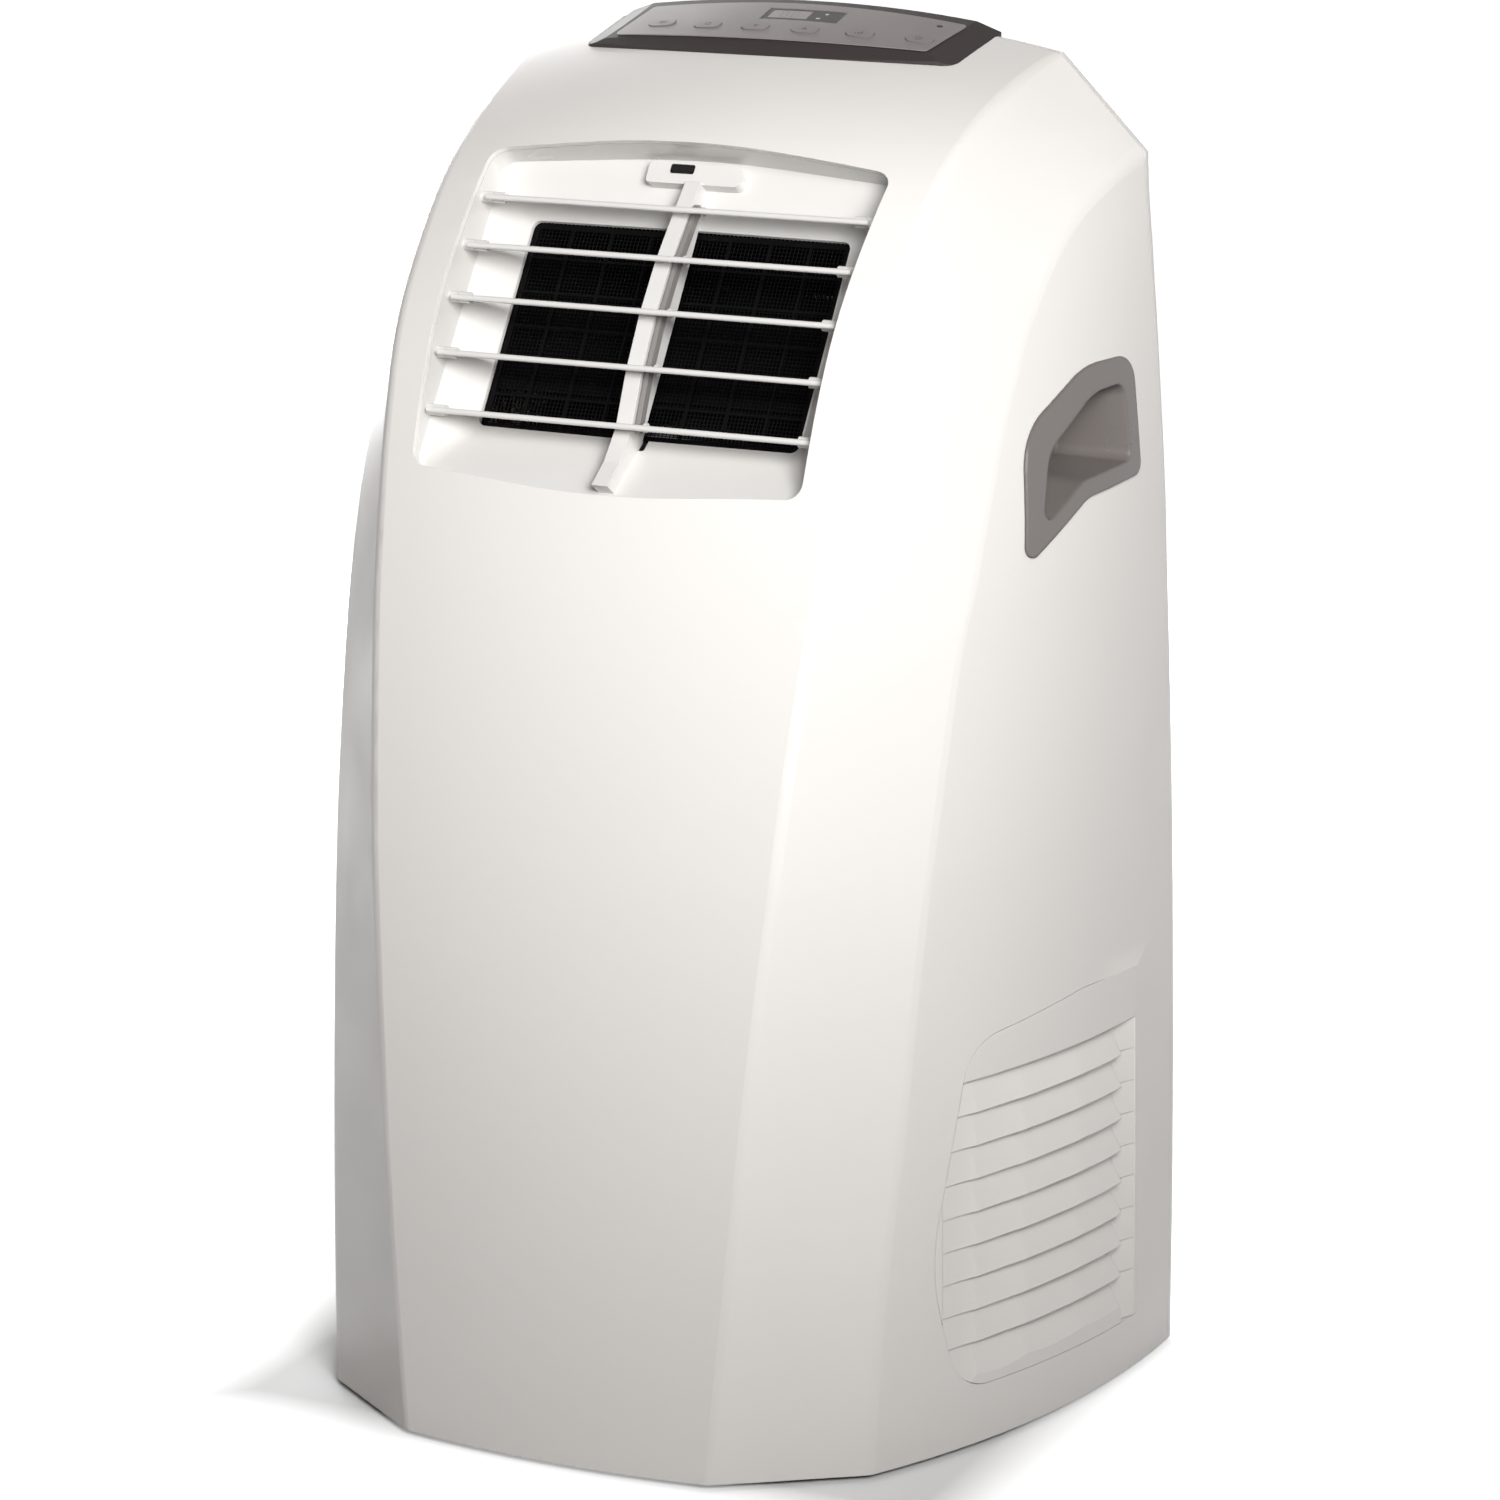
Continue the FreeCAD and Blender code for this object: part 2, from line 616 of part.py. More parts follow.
def board_point(x, y, above=0.0):
    """A point on the control board's top: a flat board parallel to the panel's slope."""
    lean = math.radians(panel_slope)
    middle_y = 104.0
    rise = math.tan(lean) * (y - middle_y)
    return V(x, y, board_z + rise) + V(0, -math.sin(lean), math.cos(lean)) * above


board_z = 663.0             # control board's top, under the middle of the keys
board_thick = 1.6
board_half_width = 86.0
board_front_y, board_rear_y = 86.0, 122.0


def control_bezel():
    """The dark frame round the panel: sloping border, flat for the overlay, posts for the board."""
    body = crown_layer(upright(panel_corners), -panel_rise, wall).common(border_limit())
    body = body.cut(crown_top(bezel_sheet - panel_rise).common(upright(offset_corners(overlay_corners, -3.0))))
    body = body.cut(display_block(fit))
    posts = []
    for x in (-76.0, 76.0):
        foot = board_point(x, 113.0, fit + 0.8)
        head = on_front(113.0, height_at(113.0), x).z + panel_rise / 2
        posts.append(Part.makeCylinder(2.5, head - foot.z, foot))
    return body.fuse(posts).cut(fused(panel_holes())).removeSplitter()


def panel_overlay():
    """The light sheet on the bezel, open for the keys and the display."""
    sheet = crown_layer(upright(overlay_corners), -panel_rise - fit - overlay_thick, -panel_rise - fit)
    return sheet.cut(fused(panel_holes() + [display_block(fit)]))


def display_window():
    """Smoked window over the display."""
    return crown_layer(display_block(0.0), -panel_rise - overlay_thick, bezel_sheet - panel_rise)


def panel_key(index):
    """One key: an oval cap with a flange under the bezel, on a stem that ends above its switch."""
    centre, up = key_place(index)
    cap = oval(centre, up, 0.0, -key_height, 0.4)
    flange = oval(centre, up, 1.2, -key_height - 0.8, -key_height)
    stem = rod(centre + up * (key_travel + 0.2 - key_drop(index)), centre - up * 1.0, 2.0)
    return fused([cap, flange, stem])


def key_drop(index):
    """How far the key's switch lies under the overlay, along the way that the key is pressed."""
    centre, up = key_place(index)
    normal = V(0, -math.sin(math.radians(panel_slope)), math.cos(math.radians(panel_slope)))
    gap = (centre - board_point(0, 104.0)).dot(normal)
    return gap / up.dot(normal) - 3.0


def control_board():
    """The circuit board under the panel, with a switch under each key and the display's block."""
    outline = [(-board_half_width, board_front_y, 2.0), (board_half_width, board_front_y, 2.0),
               (board_half_width, board_rear_y, 2.0), (-board_half_width, board_rear_y, 2.0)]
    along = board_point(0, 0, 0) - board_point(0, 0, board_thick)
    pieces = [prism(outline, board_point, along)]
    for index in range(len(key_seats)):
        centre, up = key_place(index)
        top = centre - up * key_drop(index)
        pieces.append(rod(top, top - up * 5.0, 1.75).cut(rod(top - up * 3.5, top - up * 9.0, 3.0)))
    x0, x1, y0, y1 = display_x0 + 2, display_x1 - 2, display_y0 + 2, display_y1 - 2
    block = prism([(x0, y0, 0.5), (x1, y0, 0.5), (x1, y1, 0.5), (x0, y1, 0.5)], board_point, -along * 3.0)
    return fused(pieces + [block])


# ---------------------------------------------------------------------------------------------
# Grips and air grilles in the sides
# ---------------------------------------------------------------------------------------------
grip_corners = [(98.5, 531.0, 14.0), (55.0, 531.0, 55.0), (2.0, 505.0, 36.0), (-7.0, 441.0, 5.0),
                (45.0, 467.0, 30.0), (98.5, 471.0, 7.0)]
grip_mouth = [(91.0, 520.5, 8.0), (60.0, 520.0, 40.0), (13.0, 494.0, 26.0), (1.0, 452.0, 5.0),
              (42.0, 474.0, 25.0), (91.0, 478.0, 6.0)]
grip_depth = 34.0
grip_wall = 2.4
grip_lip = 1.2
grip_floor_scale = 0.78     # the pocket narrows to this share of its mouth
vent_corners = [(84.5, 219.5, 2.0), (30.0, 221.0, 60.0), (-54.0, 212.0, 26.0), (-80.0, 100.0, 110.0),
                (-62.0, 33.0, 26.0), (84.5, 31.0, 3.0)]
vent_depth = 12.0
vent_first_z = 194.0        # lower edge of the top slat
vent_pitch = 17.0
vent_slats = 9
vent_sink = 9.5             # depth of the hollow under each slat's edge
slat_lip = 1.2              # thickness of a slat's edge


def sideways(corners, x0, x1):
    """A block through the side with a rounded outline given as (y, z)."""
    turned = [(a, b, r) for a, b, r in reversed(corners)]
    return prism(turned, lambda y, z: V(x0, y, z), V(x1 - x0, 0, 0))


def side_layer(corners, high, low):
    """The layer between two depths under the right-hand side, inside an outline."""
    block = sideways(corners, 60.0, 260.0)
    return side_block(high).common(block).cut(side_block(low))


def grip_pocket(grow, depth):
    """The hollow of the grip, drafted towards its floor."""
    centre_y, centre_z = 50.0, 492.0
    mouth = offset_corners(grip_mouth, grow)
    floor = [(centre_y + (y - centre_y) * grip_floor_scale, centre_z + (z - centre_z) * grip_floor_scale,
              r * grip_floor_scale) for y, z, r in mouth]
    surface = 196.0
    ends = [rounded_wire(mouth, lambda y, z: V(surface + 20.0, y, z)),
            rounded_wire(floor, lambda y, z: V(surface - depth, y, z))]
    return Part.makeLoft(ends, True, True)


def handle_cup():
    """The right-hand grip: a lip on the side and a drafted pocket behind it."""
    lip = side_layer(grip_corners, -fit - grip_lip, -fit)
    neck = side_block(-0.5).common(grip_pocket(grip_wall, grip_depth + grip_wall))
    return lip.fuse(neck).cut(grip_pocket(0.0, grip_depth)).removeSplitter()


def vent_section(edge_z, depth, y):
    """The hollow under one slat, cut across at one depth of the cabinet."""
    z_range = (edge_z - slat_lip, edge_z - vent_pitch)
    out = 6.0
    surface = lambda z: surface_x(y, z)
    top, low = z_range
    slope = (top - low) / depth
    return Part.makePolygon([
        V(surface(top) - depth, y, top), V(surface(top) + out, y, top),
        V(surface(low) + out, y, low - out * slope), V(surface(top) - depth, y, top)])


def surface_x(y, z):
    """Half width of the cabinet at one place of the side, low down."""
    for low, high in zip(side_stations, side_stations[1:]):
        if low[0] <= z <= high[0]:
            share = (z - low[0]) / (high[0] - low[0])
            lean = low[1] + (high[1] - low[1]) * share
            return on_side(z, lean, 0.0, y).x
    return on_side(z, 0.0, 0.0, y).x


def side_grille():
    """The right-hand air grille: slats that lie in the side like the teeth of a saw."""
    body = side_layer(offset_corners(vent_corners, -fit), 0.0, vent_depth)
    stations = [(-72.0, 1.0), (-50.0, 3.5), (-15.0, 7.0), (30.0, vent_sink), (66.0, vent_sink)]
    cuts, slots = [], []
    for slat in range(vent_slats):
        edge = vent_first_z - slat * vent_pitch
        for (y0, d0), (y1, d1) in zip(stations, stations[1:]):
            cuts.append(Part.makeLoft([vent_section(edge, d0, y0), vent_section(edge, d1, y1)], True, True))
        end_y, end_depth = 81.0, 0.6
        cuts.append(Part.makeLoft([vent_section(edge, vent_sink, 66.0),
                                   vent_section(edge, end_depth, end_y)], True, True))
        slots.append(box(120.0, 250.0, 0.0, 62.0, edge - slat_lip - 2.2, edge - slat_lip))
    deep = side_block(vent_sink - 2.5)
    slots = fused(slots).common(deep)
    return body.cut(fused(cuts)).cut(slots).removeSplitter()


# ---------------------------------------------------------------------------------------------
# Casing
# ---------------------------------------------------------------------------------------------
rail_x, rail_z0, rail_z1 = 160.0, 352.0, 612.0     # the filter's guide rails on the back
collar_x, collar_z = -95.0, 232.0
collar_radius, collar_bore = 74.0, 66.0
collar_end_y = 165.0
intake_half_width, intake_z0, intake_z1 = 140.0, 368.0, 592.0
gland_x, gland_z, gland_radius = 150.0, 78.0, 9.0
drains = [("upper_drain_plug", 176.0, 341.0), ("lower_drain_plug", -176.0, 74.0)]
drain_hole = 6.5
screw_spots = [(side * x, z) for x, z in ((178.0, 95.0), (178.0, 300.0), (178.0, 480.0), (130.0, 652.0))
               for side in (-1, 1)]
screw_radius = 1.8
post_radius = 6.0
post_end_y = rear_y - wall - fit
rear_grille_x0, rear_grille_x1 = 22.0, 150.0
rear_grille_z0, rear_grille_z1 = 110.0, 300.0


def banded(body, levels):
    """The same solid with its long faces divided at some heights, which keeps its mesh close to them."""
    ends = [-60.0] + levels + [760.0]
    bands = [body.common(box(-300.0, 300.0, -300.0, 300.0, low, high)) for low, high in zip(ends, ends[1:])]
    return bands[0].multiFuse(bands[1:])


def front_case():
    """Front, top and sides in one moulding, open at the back and below."""
    shell = creased().cut(form(wall, bottom=-60.0)).common(slab(-200.0, seam_y))
    mouth = prism(mouth_corners, at_level(-30.0), mouth_out(120.0))
    shell = shell.cut(mouth.common(slab(-200.0, 40.0)))
    shell = shell.cut(upright(offset_corners(panel_corners, fit)))
    for side in (lambda shape: shape, mirrored):
        shell = shell.cut(side(sideways(offset_corners(grip_mouth, grip_wall + 0.8), 120.0, 260.0)))
        shell = shell.cut(side(sideways(vent_corners, 60.0, 260.0)))
    shell = shell.multiFuse(screw_posts()).cut(fused(screw_bores())).removeSplitter()
    return banded(shell, [150.0, 300.0, 430.0, 560.0, 640.0])


def screw_posts():
    """Posts inside the casing that take the rear cover's screws, each on a web from the wall."""
    inside = form(wall / 2)
    posts = []
    for x, z in screw_spots:
        side = 1 if x > 0 else -1
        if abs(x) > 150:
            ends = sorted([x, side * (half_width + 5)])
            web = box(ends[0], ends[1], 110.0, seam_y, z - 2.0, z + 2.0)
        else:
            web = box(x - 2.0, x + 2.0, 110.0, seam_y, z, z + 60.0)
        posts.append(web.common(inside))
        posts.append(rod(V(x, 110.0, z), V(x, post_end_y, z), post_radius))
    return posts


def screw_bores():
    return [rod(V(x, 112.0, z), V(x, post_end_y + 1, z), screw_radius + fit) for x, z in screw_spots]


def screw_head(x, z, grow):
    """A countersunk screw head, flush with the rear cover's back."""
    return Part.makeCone(screw_radius + grow, 4.0 + grow, 2.2, V(x, rear_y - 2.2, z), V(0, 1, 0))


def case_screws():
    """The screws that hold the rear cover to the casing's posts."""
    screws = []
    for x, z in screw_spots:
        shank = rod(V(x, 116.0, z), V(x, rear_y - 1.0, z), screw_radius)
        screws.append(shank.fuse(screw_head(x, z, 0.0)))
    return Part.makeCompound(screws)


def slots(x0, x1, z0, z1, pitch, height):
    """Rows of slots through the back."""
    rows = int((z1 - z0) / pitch)
    return [box(x0, x1, seam_y, rear_y + 5, z0 + i * pitch, z0 + i * pitch + height) for i in range(rows)]


def rear_cover():
    """The back: a shallow tray with rounded corners, both air grilles and the filter's rails."""
    shell = round_backed().cut(round_backed(wall, bottom=-60.0)).common(slab(seam_y + fit, 200.0))
    rails = []
    for side in (-1, 1):
        outer = box(rail_x + fit, rail_x + 5, rear_y - 1, rear_y + 7, rail_z0, rail_z1)
        lip = box(rail_x - 4, rail_x + 5, rear_y + 5.6 + fit, rear_y + 7.6, rail_z0, rail_z1)
        rail = outer.fuse(lip)
        rails.append(mirrored(rail) if side < 0 else rail)
    rails.append(box(-rail_x - 4, rail_x + 4, rear_y - 1, rear_y + 5, rail_z0 - 4, rail_z0 - fit))
    openings = slots(-intake_half_width, intake_half_width, intake_z0, intake_z1, 28.0, 22.0)
    openings += slots(rear_grille_x0, rear_grille_x1, rear_grille_z0, rear_grille_z1, 12.0, 6.0)
    openings.append(upright(offset_corners(panel_corners, fit)))
    for x, z in screw_spots:
        openings += [rod(V(x, seam_y, z), V(x, rear_y, z), screw_radius + fit), screw_head(x, z, fit)]
    openings.append(rod(V(collar_x, seam_y, collar_z), V(collar_x, rear_y + 9, collar_z), collar_radius - 5))
    openings.append(rod(V(gland_x, seam_y, gland_z), V(gland_x, rear_y + 9, gland_z), gland_radius + fit))
    for _, x, z in drains:
        openings.append(rod(V(x, seam_y, z), V(x, rear_y + 9, z), drain_hole + 2.5 + fit))
    return shell.fuse(rails).cut(fused(openings)).removeSplitter()


floor_z = 57.0              # underside of the base's floor
pan_wall = 2.6
socket_depth = 7.0


def base_pan():
    """The base: a floor above the castors, a skirt inside the casing, castor sockets and a sump."""
    inset = wall + fit
    body = form(inset, bottom=6.0).common(slab(-200.0, 200.0, 0.0, floor_z + pan_wall))
    body = body.cut(form(inset + pan_wall, bottom=-60.0).common(slab(-200.0, 200.0, -60.0, floor_z)))
    reach, back = half_width - inset - 0.2, rear_y - inset
    body = body.common(upright([(-reach, -220.0, 1.0), (reach, -220.0, 1.0),
                                (reach, back, rear_corner_radius - inset),
                                (-reach, back, rear_corner_radius - inset)], 0.0, 100.0))
    sockets, bores = [], []
    for x, y in caster_spots:
        sockets.append(rod(V(x, y, floor_z - socket_depth), V(x, y, floor_z + 1), caster_stem + 3.0))
        bores.append(rod(V(x, y, floor_z - socket_depth - 5), V(x, y, floor_z + 0.5), caster_stem + running))
    grille = side_layer(offset_corners(vent_corners, 0.0), -1.0, vent_depth + fit)
    body = body.cut(grille).cut(mirrored(grille))
    _, x, z = drains[1]
    sump = box(x - 12.0, x + 12.0, 108.0, seam_y - 2.0, floor_z + 1, z + 11.0)
    return fused([body, sump, drain_spout(x, z)] + sockets).cut(fused(bores + [drain_bore(x, z)]))


caster_spots = [(-112.0, -88.0), (112.0, -88.0), (165.0, 92.0), (-165.0, 92.0)]
caster_stem = 4.0
caster_trail = 11.0
wheel_radius, wheel_half = 18.0, 8.0
axle_radius = 3.0


def caster_fork(x, y):
    """Swivelling fork with its stem and the wheel's axle."""
    top = floor_z - socket_depth - fit
    centre = V(x, y + caster_trail, wheel_radius)
    cheek = 2.5
    outer = wheel_half + 0.6 + cheek
    bridge = box(x - outer, x + outer, y - 12.0, y + caster_trail + 9.0, top - 5.0, top)
    pieces = [bridge, rod(V(x, y, top - 1), V(x, y, floor_z - 0.5), caster_stem)]
    for side in (-1, 1):
        x0 = x + side * (wheel_half + 0.6)
        x1 = x + side * outer
        leg = Part.Face(Part.makePolygon([
            V(min(x0, x1), y - 8, top - 4), V(min(x0, x1), y + caster_trail - 7, wheel_radius - 5),
            V(min(x0, x1), y + caster_trail + 7, wheel_radius - 5), V(min(x0, x1), y + caster_trail + 9, top - 4),
            V(min(x0, x1), y - 8, top - 4)])).extrude(V(cheek, 0, 0))
        pieces.append(leg)
    across = V(outer, 0, 0)
    pieces.append(rod(centre - across, centre + across, axle_radius))
    return fused(pieces)


def caster_wheel(x, y):
    """Castor wheel with rounded shoulders."""
    centre = V(x, y + caster_trail, wheel_radius)
    half = V(wheel_half, 0, 0)
    wheel = rod(centre - half, centre + half, wheel_radius)
    wheel = wheel.makeFillet(2.5, [edge for edge in wheel.Edges if edge.Closed])
    return wheel.cut(rod(centre - half * 2, centre + half * 2, axle_radius + running))


def filter_frame():
    """The air filter: a frame in the rails with crossing ribs and a pull tab on top."""
    x, z0, z1 = rail_x - fit, rail_z0, rail_z1 + 4
    y0, y1 = rear_y + fit, rear_y + 5.3
    body = box(-x, x, y0, y1, z0, z1)
    inner_x, edge = x - 12, 12.0
    columns, rows, rib = 4, 3, 3.0
    holes = []
    wide = (2 * inner_x - (columns - 1) * rib) / columns
    tall = (z1 - z0 - 2 * edge - (rows - 1) * rib) / rows
    for column in range(columns):
        for row in range(rows):
            x0 = -inner_x + column * (wide + rib)
            low = z0 + edge + row * (tall + rib)
            holes.append(box(x0, x0 + wide, y0 - 1, y1 + 1, low, low + tall))
    mesh_thick = 0.8
    mesh = box(-inner_x - 1, inner_x + 1, y0 + 1.5, y0 + 1.5 + mesh_thick, z0 + edge - 1, z1 - edge + 1)
    tab = box(-22.0, 22.0, y1 - 1, y1 + 8, z1 - 10, z1 - 6)
    return fused([body.cut(fused(holes)), mesh, tab])


def hose_collar():
    """Round outlet on the back that the exhaust hose twists onto."""
    axis = V(0, 1, 0)
    foot = V(collar_x, rear_y + fit, collar_z)
    flange = rod(foot, foot + axis * 3.0, collar_radius + 6)
    spigot = rod(V(collar_x, seam_y + 2, collar_z), V(collar_x, collar_end_y, collar_z), collar_radius - 5 - fit)
    body = flange.fuse(spigot)
    lugs = []
    for turn in range(3):
        angle = math.radians(90 + 120 * turn)
        out = V(math.cos(angle), 0, math.sin(angle))
        side = V(-out.z, 0, out.x)
        foot_lug = V(collar_x, collar_end_y - 9, collar_z) + out * (collar_radius - 7) - side * 7
        lugs.append(Part.Face(Part.makePolygon([
            foot_lug, foot_lug + out * 5.5, foot_lug + out * 5.5 + side * 14, foot_lug + side * 14, foot_lug
        ])).extrude(axis * 4.0))
    bore = rod(V(collar_x, seam_y - 5, collar_z), V(collar_x, collar_end_y + 5, collar_z), collar_bore)
    return fused([body] + lugs).cut(bore).removeSplitter()


def drain_plug(x, z):
    """Rubber plug: a knob outside and a stem in the drain's spout."""
    axis = V(0, 1, 0)
    knob = rod(V(x, rear_y + 0.5, z), V(x, rear_y + 7, z), drain_hole + 4)
    knob = knob.makeFillet(1.5, [edge for edge in knob.Edges if edge.Closed and edge.BoundBox.YMin > rear_y + 6])
    stem = rod(V(x, rear_y - 9, z), V(x, rear_y + 1, z), drain_hole - 1.5)
    return knob.fuse(stem)


def drain_spout(x, z):
    """Spout that a drain plug closes, standing in its hole in the rear cover."""
    return rod(V(x, seam_y - 4.0, z), V(x, rear_y, z), drain_hole + 2.5)


def drain_bore(x, z):
    return rod(V(x, seam_y - 14.0, z), V(x, rear_y + 1, z), drain_hole - 1.5 + 0.1)


def cord_gland():
    """Bush in the back where the mains cord would come out."""
    foot = V(gland_x, rear_y, gland_z)
    axis = V(0, 1, 0)
    body = rod(foot - axis * (wall + 4), foot + axis * 1, gland_radius)
    body = body.fuse(rod(foot + axis * fit, foot + axis * 4, gland_radius + 3))
    body = body.fuse(rod(foot - axis * (wall + 4), foot - axis * (wall + fit), gland_radius + 2))
    return body.cut(rod(foot - axis * 20, foot + axis * 20, 4.0)).removeSplitter()


# ---------------------------------------------------------------------------------------------
# Inside: compressor, coils, blowers with their scrolls and motors, tubes, drain pan
# ---------------------------------------------------------------------------------------------
base_top = floor_z + pan_wall
compressor_x, compressor_y = -95.0, -50.0
compressor_radius = 56.0
compressor_z0, compressor_z1 = 71.0, 232.0
dome_height = 18.0
plate_thick = 3.0
grommet_circle = 62.0
grommet_pad = 12.0
grommet_turns = [0.0, 120.0, 240.0]
accumulator_radius = 18.0
tray_z = 330.0              # underside of the drain pan between the two coils
tray_wall = 2.6
tray_rim = 20.0
tray_front_y = -90.0
tube_radius = 4.0
tube_bend = 10.0
duct_wall = 2.4
coil_y0, coil_y1 = 92.0, 120.0
condenser_x0, condenser_x1 = 13.0, 152.0
evaporator_half = 143.0
evaporator_z1 = 600.0
shaft_radius = 4.0
# Each blower: centre (x, z), the scroll's depth range, the scroll's radius, the wheel's radius.
condenser_fan = (75.0, 195.0, 20.0, 84.0, 82.0, 70.0)
evaporator_fan = (0.0, 455.0, 8.0, 86.0, 97.0, 85.0)
exhaust_z0, exhaust_z1 = 158.0, 306.0


def tray_level(gap=0.0):
    """Height of the drain pan's floor, or a gap above it."""
    return tray_z + tray_wall + gap


def around_compressor(distance):
    """Three places round the compressor's axis, a third of a turn apart."""
    spots = []
    for turn in grommet_turns:
        angle = math.radians(turn)
        spots.append((compressor_x + distance * math.cos(angle),
                      compressor_y + distance * math.sin(angle)))
    return spots


def compressor():
    """Hermetic compressor: a can with a domed top on a three-cornered foot plate."""
    up = V(0, 0, 1)
    foot = V(compressor_x, compressor_y, compressor_z0 - 1.0)
    top = V(compressor_x, compressor_y, compressor_z1)
    corners = [(x, y, grommet_pad) for x, y in around_compressor(grommet_circle + 2 * grommet_pad)]
    return fused([rod(foot, top, compressor_radius),
                  Part.makeCone(compressor_radius, compressor_radius - 24.0, dome_height, top),
                  rod(top, top + up * (dome_height + 6.0), tube_radius + 2.0),
                  upright(corners, compressor_z0 - plate_thick, compressor_z0)])


def compressor_feet():
    """Rubber grommets between the compressor's foot plate and the base."""
    z0, z1 = base_top + fit, compressor_z0 - plate_thick - fit
    return Part.makeCompound([rod(V(x, y, z0), V(x, y, z1), 9.0) for x, y in around_compressor(grommet_circle)])


def accumulator_axis():
    return compressor_x + compressor_radius + fit + accumulator_radius


def accumulator():
    """Suction accumulator strapped against the compressor."""
    x = accumulator_axis()
    can = rod(V(x, compressor_y, 105.0), V(x, compressor_y, 195.0), accumulator_radius)
    can = can.makeFillet(7.0, [edge for edge in can.Edges if edge.Closed])
    return can.fuse(rod(V(x, compressor_y, 190.0), V(x, compressor_y, 202.0), tube_radius + 1.5))


def coil(x0, x1, z0, z1, bends):
    """Finned coil: a block of fins between two end plates, with hairpin bends on the right."""
    plate = 1.6
    pieces = [box(x0, x0 + plate, coil_y0 - 2, coil_y1 + 2, z0, z1),
              box(x1 - plate, x1, coil_y0 - 2, coil_y1 + 2, z0, z1),
              box(x0 + plate, x1 - plate, coil_y0, coil_y1, z0 + 6.0, z1 - 6.0)]
    middle = (coil_y0 + coil_y1) / 2
    pitch = (z1 - z0 - 30.0) / bends
    for i in range(bends):
        z = z0 + 15.0 + pitch * (i + 0.5)
        bend = Part.makeTorus(pitch / 4, 3.0, V(x1, middle, z), V(0, 1, 0), -180, 180, 360)
        pieces.append(bend.common(box(x1 - 0.5, x1 + 40, middle - 10, middle + 10, z - 40, z + 40)))
    return fused(pieces)


def condenser_coil():
    """Hot coil: its end plates stand on the base and reach up under the drain pan."""
    return coil(condenser_x0, condenser_x1, base_top + fit, tray_z - fit, 5)


def evaporator_coil():
    """Cold coil, standing in the drain pan behind the intake."""
    return coil(-evaporator_half, evaporator_half, tray_level(fit), evaporator_z1, 5)


def drain_pan():
    """The pan between the coils that catches the condensate, with its drain spout."""
    inset = wall + fit
    rim_top = tray_z + tray_rim
    outer = form(inset).common(slab(tray_front_y, seam_y - 0.5, tray_z, rim_top))
    hollow = form(inset + tray_wall).common(
        slab(tray_front_y + tray_wall, seam_y - 0.5 - tray_wall, tray_z + tray_wall, rim_top + 1))
    _, x, z = drains[0]
    holes = [rod(V(a, b, tray_z - 1), V(a, b, tray_z + 5), tube_radius + fit) for a, b in tube_holes]
    return outer.cut(hollow).fuse(drain_spout(x, z)).cut(fused(holes + [drain_bore(x, z)])).removeSplitter()


def scroll_parts(fan, outlets, shrink):
    """The round of a scroll and its outlet boxes, moved inwards by shrink."""
    x, z, y0, y1, radius, _ = fan
    pieces = [rod(V(x, y0 + shrink, z), V(x, y1 - shrink, z), radius - shrink)]
    for a0, a1, c0, c1 in outlets:
        pieces.append(box(a0 + shrink, a1 - shrink, y0 + shrink, y1 - shrink, c0 + shrink, c1 - shrink))
    return pieces


def scroll_cuts(fan):
    """The inlet in a scroll's back wall and the shaft's hole in its front wall."""
    x, z, y0, y1, _, wheel = fan
    return [rod(V(x, y1 - duct_wall - 1, z), V(x, y1 + 1, z), wheel * 0.75),
            rod(V(x, y0 - 1, z), V(x, y0 + duct_wall + 1, z), shaft_radius + 1.0)]


def condenser_scroll():
    """Scroll round the lower blower, with the duct that leads the hot air to the hose collar."""
    x, z, y0, y1, radius, _ = condenser_fan
    outlets = [(collar_x + 60.0, x, z, z + radius), (collar_x - 72.0, collar_x + 67.0, exhaust_z0, exhaust_z1)]
    inner = [(outlets[0][0] - 8.0,) + outlets[0][1:], outlets[1]]
    neck_end = seam_y + 2.0 - fit
    neck = rod(V(collar_x, y1 - 2, collar_z), V(collar_x, neck_end, collar_z), collar_bore + duct_wall)
    feet = [box(a, a + 8.0, y0 + 4, y1 - 4, base_top + fit, z - radius + 12) for a in (x - 34, x + 26)]
    feet.append(box(collar_x - 66, collar_x - 58, y0 + 4, y1 - 4, base_top + fit, exhaust_z0 + 1))
    body = fused(scroll_parts(condenser_fan, outlets, 0.0) + [neck] + feet)
    body = body.cut(fused(scroll_parts(condenser_fan, inner, duct_wall)))
    bore = rod(V(collar_x, y1 - duct_wall - 1, collar_z), V(collar_x, neck_end + 1, collar_z), collar_bore)
    return body.cut(fused(scroll_cuts(condenser_fan) + [bore])).removeSplitter()


def evaporator_scroll():
    """Scroll round the upper blower, with the duct that rises to the outlet, on two feet."""
    x, z, y0, y1, radius, _ = evaporator_fan
    top = z + radius - 4.0
    mouth = (x - 25.0, x + radius, z, top)
    open_mouth = mouth[:3] + (top + 3 * duct_wall,)
    level = -funnel_wall - 2 * fit - 1.6
    low, high = in_outlet(0, 2.0 - inner_half_height, level + 10), in_outlet(0, inner_half_height - 2.0, level + 10)
    profile = [(y1, top, 1.0), (high.y, high.z, 1.0), (low.y, low.z, 1.0), (y0, top, 1.0)]
    reach = inner_half_width - 2.0
    duct = sideways(profile, -reach, x + radius)
    air = sideways(offset_corners(profile, -duct_wall), duct_wall - reach, x + radius - duct_wall)
    front = prism([(-150, -150, 1), (150, -150, 1), (150, 150, 1), (-150, 150, 1)], at_level(level), mouth_out(60))
    feet = [box(a, a + 8.0, y0 + 4, y1 - 4, tray_level(fit), z - radius + 16) for a in (x - 44, x + 36)]
    body = fused(scroll_parts(evaporator_fan, [mouth], 0.0) + [duct] + feet).cut(front)
    body = body.cut(fused(scroll_parts(evaporator_fan, [open_mouth], duct_wall) + [air]))
    return body.cut(fused(scroll_cuts(evaporator_fan))).removeSplitter()


